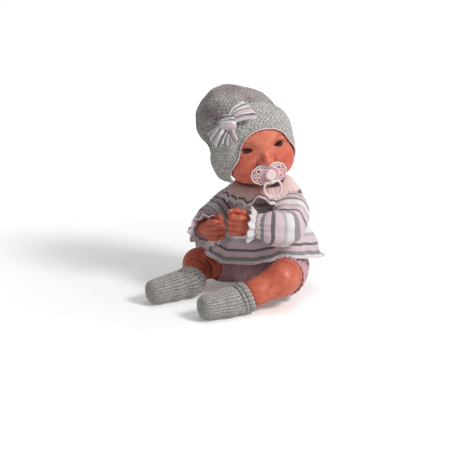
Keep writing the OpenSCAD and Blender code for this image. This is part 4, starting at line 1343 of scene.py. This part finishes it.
def make_collar():
    n, rows = 720, 64
    turn = circle(n, -math.pi)
    profile = spline([(28.5, 117, 0), (26.8, 125, 0), (26.6, 134, 0), (29, 139.5, 0),
                      (34, 139.2, 0), (40.5, 134.5, 0), (46.5, 128, 0), (51, 121, 0)], rows)
    s = distance_along(profile)
    v = (s / s[-1])[:, None]
    frill = smooth((v - 0.5) / 0.5)
    phase = turn * 15 + 1.1 * np.sin(3 * turn) + 0.6 * np.sin(5 * turn + 1)
    wave = 1.9 * np.sin(phase) + 0.8 * np.sin(2.3 * phase + 1)
    # One tall flute under the left of the chin, with a dip on either side
    front = turn - math.radians(36)
    big = 11.0 * hill(front, 0.19) - 3.0 * hill(front - 0.33, 0.14) - 2.5 * hill(front + 0.3, 0.13)
    smock = 0.6 * np.sin(turn * 58 + np.sin(turn * 9)) * hill(v - 0.62, 0.2)
    # It stands higher beside and behind the head than under the chin
    away = smooth((np.abs(np.angle(np.exp(1j * (turn - 0.1)))) - 1.3) / 0.6)
    raise_by = (5.5 * away - 2.5 * (1 - away)) * np.sin(math.pi * np.clip(v * 1.05, 0, 1)) ** 0.7
    radius = profile[:, :1] + smock + frill * (1.6 * np.cos(phase) + 3.0 * hill(front, 0.2))
    z = profile[:, 1:2] + raise_by + 0.7 * smock + frill * (wave + big)
    P = merge(NECK[0] + radius * np.sin(turn), NECK[1] - radius * np.cos(turn), z)
    cloth = jersey("collar_cloth", [(0, (240, 216, 210)), (s[-1] - 11, (234, 206, 200)),
                                    (s[-1] - 8, DARK), (s[-1] - 4.2, WHITE)], 80)
    sheet_object("collar_frill", P[:, ::-1], 1.0, "torso", cloth,
                 uv=merge(turn * 40, s[:, None])[:, ::-1], replaces=["collar"], slot="pink")
    edging("collar_edging", P[-1], 0.9, "torso")


# ------------------------------------------------------------------ sleeves and cuffs

# Middle line, radii along it, and how far the frill at the wrist flares
SLEEVES = {
    "left": ([[33, 2, 115], [43, -10, 110], [56, -35, 98], [52, -50, 98], [46, -60, 99.5],
              [35, -68, 101]], [16.5, 21.5, 20.5, 20.5, 19.5, 12.8], 7.5),
    "right": ([[-34, 0, 110], [-50, -8, 106], [-58, -27, 93], [-62, -42, 86], [-59, -51, 83],
               [-53, -58.5, 81]], [17, 20.5, 19, 19, 18, 13.2], 10.0)}
SLEEVE_SEED = 5


def path_frames(path):
    """Tangent, side and upward axes along a path, without twist."""
    tangent = unit(np.gradient(path, axis=0))
    up = unit(vec(0, 0, 1) - tangent * tangent[:, 2:])
    return tangent, np.cross(tangent, up), up


def make_sleeve(name):
    rows, n = 150, 200
    path, radii, flare = SLEEVES[name]
    line = even(path, rows)
    tangent, side, up = path_frames(line)
    radius = spline([(r, 0, 0) for r in radii], rows)[:, :1]
    a = circle(n)[None]
    T = np.linspace(0, 1, rows)[:, None]
    r = np.random.default_rng(SLEEVE_SEED)
    total = distance_along(line)[-1]
    gathers = hill(T - 1, 0.13) * 1.0 * np.sin(19 * a + 1.5 * np.sin(3 * a)) \
        + hill(T, 0.12) * 0.9 * np.sin(15 * a + 1.2 * np.sin(2 * a + 1))
    long_folds = sum(w * np.sin(k * a + r.uniform(0, 6.3) + s * T)
                     for k, w, s in ((3, 0.9, 3), (5, 0.9, -4), (7, 0.6, 5)))
    # Creases across the inside of the bend
    bend = np.convolve(norm(np.gradient(tangent, axis=0)), np.ones(21) / 21, "same")
    bend = (bend / bend.max())[:, None]
    inward = -unit(-np.gradient(tangent, axis=0) + 1e-9)
    facing = (side * inward).sum(1)[:, None] * np.cos(a) + (up * inward).sum(1)[:, None] * np.sin(a)
    squash = -np.clip(facing, 0, 1) * bend
    creases = squash * (1.6 + 1.5 * np.sin(2 * math.pi * T * total / 8.5 + 0.8 * np.sin(2 * a)))
    sag = 1.6 * hill(T - 0.72, 0.2) * np.clip(-np.sin(a), 0, 1)
    slack = 1.1 * wobble(merge(a * 12, T * total, 0).reshape(-1, 3), 26,
                         SLEEVE_SEED).reshape(rows, n)
    R = radius + gathers + long_folds * np.sin(math.pi * T) + creases + sag \
        + slack * np.sin(math.pi * T)
    P = rings_round(line[:, None], R, a, side[:, None], up[:, None])
    uv = merge(a * 19, 1.25 * (1 - T) * total + 1.2 * np.sin(2 * a + T * 3))
    piece = sheet_object(f"{name}_sleeve_cloth", P, 1.0, None, STRIPED, uv=uv,
                         replaces=[f"{name}_sleeve"], slot="stripe")
    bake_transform(piece)
    make_cuff(name, line[-1], tangent[-1], side[-1], up[-1], flare)


def make_cuff(name, wrist, along, side, up, flare):
    """Shirred band round the wrist and the frill beyond it, edged with small scallops."""
    a = circle(360)[None]
    s = np.linspace(-5, 10.5, 34)[:, None]
    open_up = np.clip((s - 0.5) / 10, 0, 1)
    base = 12.4 + 0.9 * np.cos(s * 2.3) * (s < 1) + flare * open_up ** 0.85
    phase = 11 * a + 0.9 * np.sin(2 * a + 2)
    frill = open_up * (2.1 * np.sin(phase) + 0.6 * np.sin(2.4 * phase))
    R = base + frill + 0.4 * np.sin(48 * a) * hill(s + 1, 3.5)
    reached = s + open_up * (1.3 * np.cos(phase) + 0.45 * np.abs(np.sin(30 * a)))
    P = rings_round(wrist + reached[..., None] * along, R, a, side, up)
    body = f"{name}_arm_group"
    sheet_object(f"{name}_cuff_frill", P, 0.9, body, CUFF_JERSEY, uv=merge(a * 15, s + 5),
                 replaces=[f"{name}_cuff"], slot="white_frill")
    edging(f"{name}_cuff_edging", P[-1], 0.75, body)


# ------------------------------------------------------------------ bloomers

def make_bloomers():
    low, high = box_mm("bloomers")
    rx, ry = (high[0] - low[0]) / 2, (high[1] - low[1]) / 2
    middle_z, half_height, waist = 31, 43, 66

    def field(p):
        wide = rx + 1.5
        f = egg(p, (0, 0, middle_z), (wide, wide * ry / rx + 2, half_height))
        f = smin(f, egg(p, (0, -26, 26), (30, 19, 24)), 12)
        f = f + 0.8 * wobble(p, 30, 21)
        return smax(smax(f, 0.4 - p[:, 2], 7), p[:, 2] - waist, 3)

    verts, faces = net(field, (low[0] - 6, low[1] - 8, -1), (high[0] + 6, high[1] + 8, waist + 2),
                       1.25)
    n = unit(gradient(field, verts))
    relief = 0.5 + 0.5 * np.cos(2 * math.pi * verts[:, 0] / 3.1
                                + 2 * math.pi * np.abs(verts[:, 1]) / 9)
    upright = np.clip(1 - np.abs(n[:, 2]) * 1.2, 0, 1)
    verts = verts + n * ((relief - 0.5) * 0.7 * upright)[:, None]
    verts[:, 2] = np.maximum(verts[:, 2], 0.1)
    mesh_object("bloomers_knit", verts, faces, "torso", RIB_PINK,
                marks={"relief": 0.2 + 0.8 * relief}, replaces=["bloomers"], slot="mauve")


def make_bloomer_leg(name):
    hip, knee = vec(LEGS[name][:2])
    axis = unit(knee - hip)
    t = np.linspace(0, 1, 70)[:, None]
    a = circle(220)[None]
    start = joint_mm(f"{name}_hip") + vec(-SIDES[name] * 9, 9, 2)
    end = hip * 0.42 + knee * 0.58
    line = start + (end - start) * t
    side_axis = unit(np.cross(axis, [0, 0, 1]))
    up = np.cross(side_axis, axis)
    puff = 22.8 + 5.2 * np.sin(math.pi * t ** 0.8) ** 0.8 - 0.4 * t
    gather = hill(t - 0.9, 0.16) * 0.9 * np.sin(22 * a + np.sin(3 * a))
    cuff = 0.8 * hill(t - 0.97, 0.03)
    ribs = np.cos(60 * a)
    slack = 1.0 * np.sin(4 * a + 3 * t) * np.sin(math.pi * t)
    R = puff + gather + cuff + 0.32 * ribs + slack
    X = rings_round(line[:, None], R, a, side_axis, up)
    X[..., 2] = np.maximum(X[..., 2], 0.3 + 0.2 * np.abs(np.sin(9 * a)))
    relief = 0.5 + 0.5 * ribs + 0 * t
    piece = sheet_object(f"{name}_bloomer_puff", X, 1.3, None, RIB_PINK,
                         marks={"relief": 0.2 + 0.8 * relief}, replaces=[f"{name}_bloomer_leg"],
                         slot="mauve")
    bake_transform(piece)


# ------------------------------------------------------------------ the hidden works

def paint_cad():
    """Materials for the CAD nodes that stay: the cloth body, the module, the neck, the discs."""
    calico = Paint("calico", 0.9, Sheen_Weight=0.2)
    x = calico.node("ShaderNodeSeparateXYZ", {0: calico.scaled(calico.place, [0.7 * MM] * 3)})
    weave = calico.math("MULTIPLY", *(calico.math("SINE", calico.math("MULTIPLY", way, 6.28))
                                      for way in (x.outputs[0], x.outputs[2])))
    calico.bump(weave, 0.5, 0.3)
    cloth = calico.painted(calico.mix(calico.spread(weave, -1, 1), (226, 212, 192),
                                      (240, 230, 214)))
    filling = Paint("filling", 1.0, Sheen_Weight=0.5)
    filling.bump(filling.noise(2, 5, 0.7), 0.8, 1.5)
    wadding = filling.painted(filling.mix(filling.noise(3, 4), (238, 238, 236), (214, 214, 212)))
    chosen = (
        (cloth, "body_cloth"), (wadding, "body_stuffing"),
        (plastic("case_plastic", (224, 224, 220), 0.42),
         "voice_case_front voice_case_back neck_base neck_yoke neck_disc shoulder_washers "
         "left_shoulder_disc right_shoulder_disc hip_washers left_hip_disc right_hip_disc"),
        (plastic("door_plastic", (206, 208, 206), 0.5), "battery_door belly_button neck_tie"),
        (plastic("dark_plastic", (52, 52, 56), 0.5), "speaker power_switch"),
        (plastic("cable_sheath", (70, 70, 74), 0.45), "neck_cable head_cable"),
        (plastic("mouth_rubber", (196, 96, 88), 0.6), "mouth_socket"),
        (plastic("board_green", (34, 92, 58), 0.35), "circuit_board dummy_sensor"),
        (metal("steel", (196, 198, 202), 0.28),
         "battery_door_screw case_screws battery_contacts belly_spring neck_pin dummy_magnet"),
        (metal("brass", (206, 172, 96), 0.3), "batteries"),
        (plastic("silicone", (240, 214, 206), 0.25, 0.3, IOR=1.41), "dummy_teat"))
    for material, nodes in chosen:
        for node in nodes.split():
            for slot in CAD[node].material_slots:
                slot.material = material


# ------------------------------------------------------------------ floor, lights, camera

CAMERA_TURN, CAMERA_LIFT = 38, 16       # degrees round from the front, and above the floor
CAMERA_FAR = 1.5                        # metres from the doll's seat
FIELD = 0.6032                          # metres across the picture at that distance
AIM = (-0.046, 0.069)                   # metres from the seat, to the camera's right and up
LAMPS_AIM = (0, -0.03, 0.13)
SENSOR = 36                             # millimetres, only sets the unit of the lens
FLOOR = 6                               # metres from the middle of the floor to its sides


def camera_axes():
    a, e = math.radians(CAMERA_TURN), math.radians(CAMERA_LIFT)
    right = vec(math.cos(a), math.sin(a), 0)
    back = vec(math.sin(a) * math.cos(e), -math.cos(a) * math.cos(e), math.sin(e))
    return right, np.cross(back, right), back


def stage():
    right, up, back = camera_axes()
    camera = new_object("camera", bpy.data.cameras.new("camera"))
    camera.location = Vector(CAMERA_FAR * back + AIM[0] * right + AIM[1] * up)
    M = np.eye(4)
    M[:3, :3] = np.stack([right, up, back], 1)
    M[:3, 3] = camera.location
    camera.matrix_world = Matrix([list(map(float, row)) for row in M])
    camera.data.sensor_width = SENSOR
    camera.data.lens = SENSOR * CAMERA_FAR / FIELD
    bpy.context.scene.camera = camera

    floor_mesh = bpy.data.meshes.new("floor")
    corners = [(-FLOOR, -FLOOR, 0), (FLOOR, -FLOOR, 0), (FLOOR, FLOOR, 0), (-FLOOR, FLOOR, 0)]
    floor_mesh.from_pydata(corners, [], [(0, 1, 2, 3)])
    floor = new_object("floor", floor_mesh)
    paper = Paint("floor_paper", 0.9, Specular_IOR_Level=0.1)
    floor_mesh.materials.append(paper.painted(paper.mix(paper.noise(40, 2), (250, 250, 250),
                                                        (247, 247, 247))))
    # The paper fades to white away from the doll, for the camera alone
    far = paper.node("ShaderNodeVectorMath", {0: paper.place}, operation="LENGTH").outputs["Value"]
    glow = paper.spread(far, 0.22, 0.95, 0.16, 0.75)
    seen_at = paper.node("ShaderNodeLightPath").outputs["Is Camera Ray"]
    paper.shader.inputs["Emission Color"].default_value = (1, 1, 1, 1)
    paper.link(paper.math("MULTIPLY", glow, seen_at), "Emission Strength")

    # White where the camera sees it, dimmer as a light
    world = bpy.data.worlds.new("studio")
    bpy.context.scene.world = world
    world.use_nodes = True
    tree = world.node_tree
    shader = tree.nodes["Background"]
    shader.inputs["Color"].default_value = (1, 1, 1, 1)
    rays = add_node(tree, "ShaderNodeLightPath").outputs
    seen = add_node(tree, "ShaderNodeMath", {0: rays["Is Camera Ray"],
                                             1: rays["Is Transmission Ray"]}, operation="MAXIMUM")
    strength = add_node(tree, "ShaderNodeMapRange", {0: seen.outputs[0], 3: 0.28, 4: 1.0})
    tree.links.new(strength.outputs[0], shader.inputs["Strength"])

    level = vec(0, 0, 1)
    for name, place, size, watts in (
            ("key", 1.0 * right + 0.75 * back + 0.95 * level, 0.42, 19),
            ("fill", -1.1 * right + 0.9 * back + 0.5 * level, 0.9, 1.2),
            ("top", (0.1, 0.3, 1.5), 0.8, 5)):
        light = bpy.data.lights.new(name, "AREA")
        light.size, light.energy = size, watts
        lamp = new_object(name, light)
        lamp.location = place
        aim = Vector(LAMPS_AIM) - Vector(place)
        lamp.rotation_euler = aim.to_track_quat("-Z", "Y").to_euler()
    bpy.context.scene.view_settings.view_transform = "Standard"


# ------------------------------------------------------------------ everything together

make_head()
make_eyes()
make_lashes()
make_hat()
make_bow()
make_dummy()
for make in (make_arm, make_leg, make_sock):
    for side_name in SIDES:
        make(side_name)
make_tunic()
make_buttons()
make_collar()
for side_name in SIDES:
    make_sleeve(side_name)
make_bloomers()
for side_name in SIDES:
    make_bloomer_leg(side_name)
paint_cad()
stage()
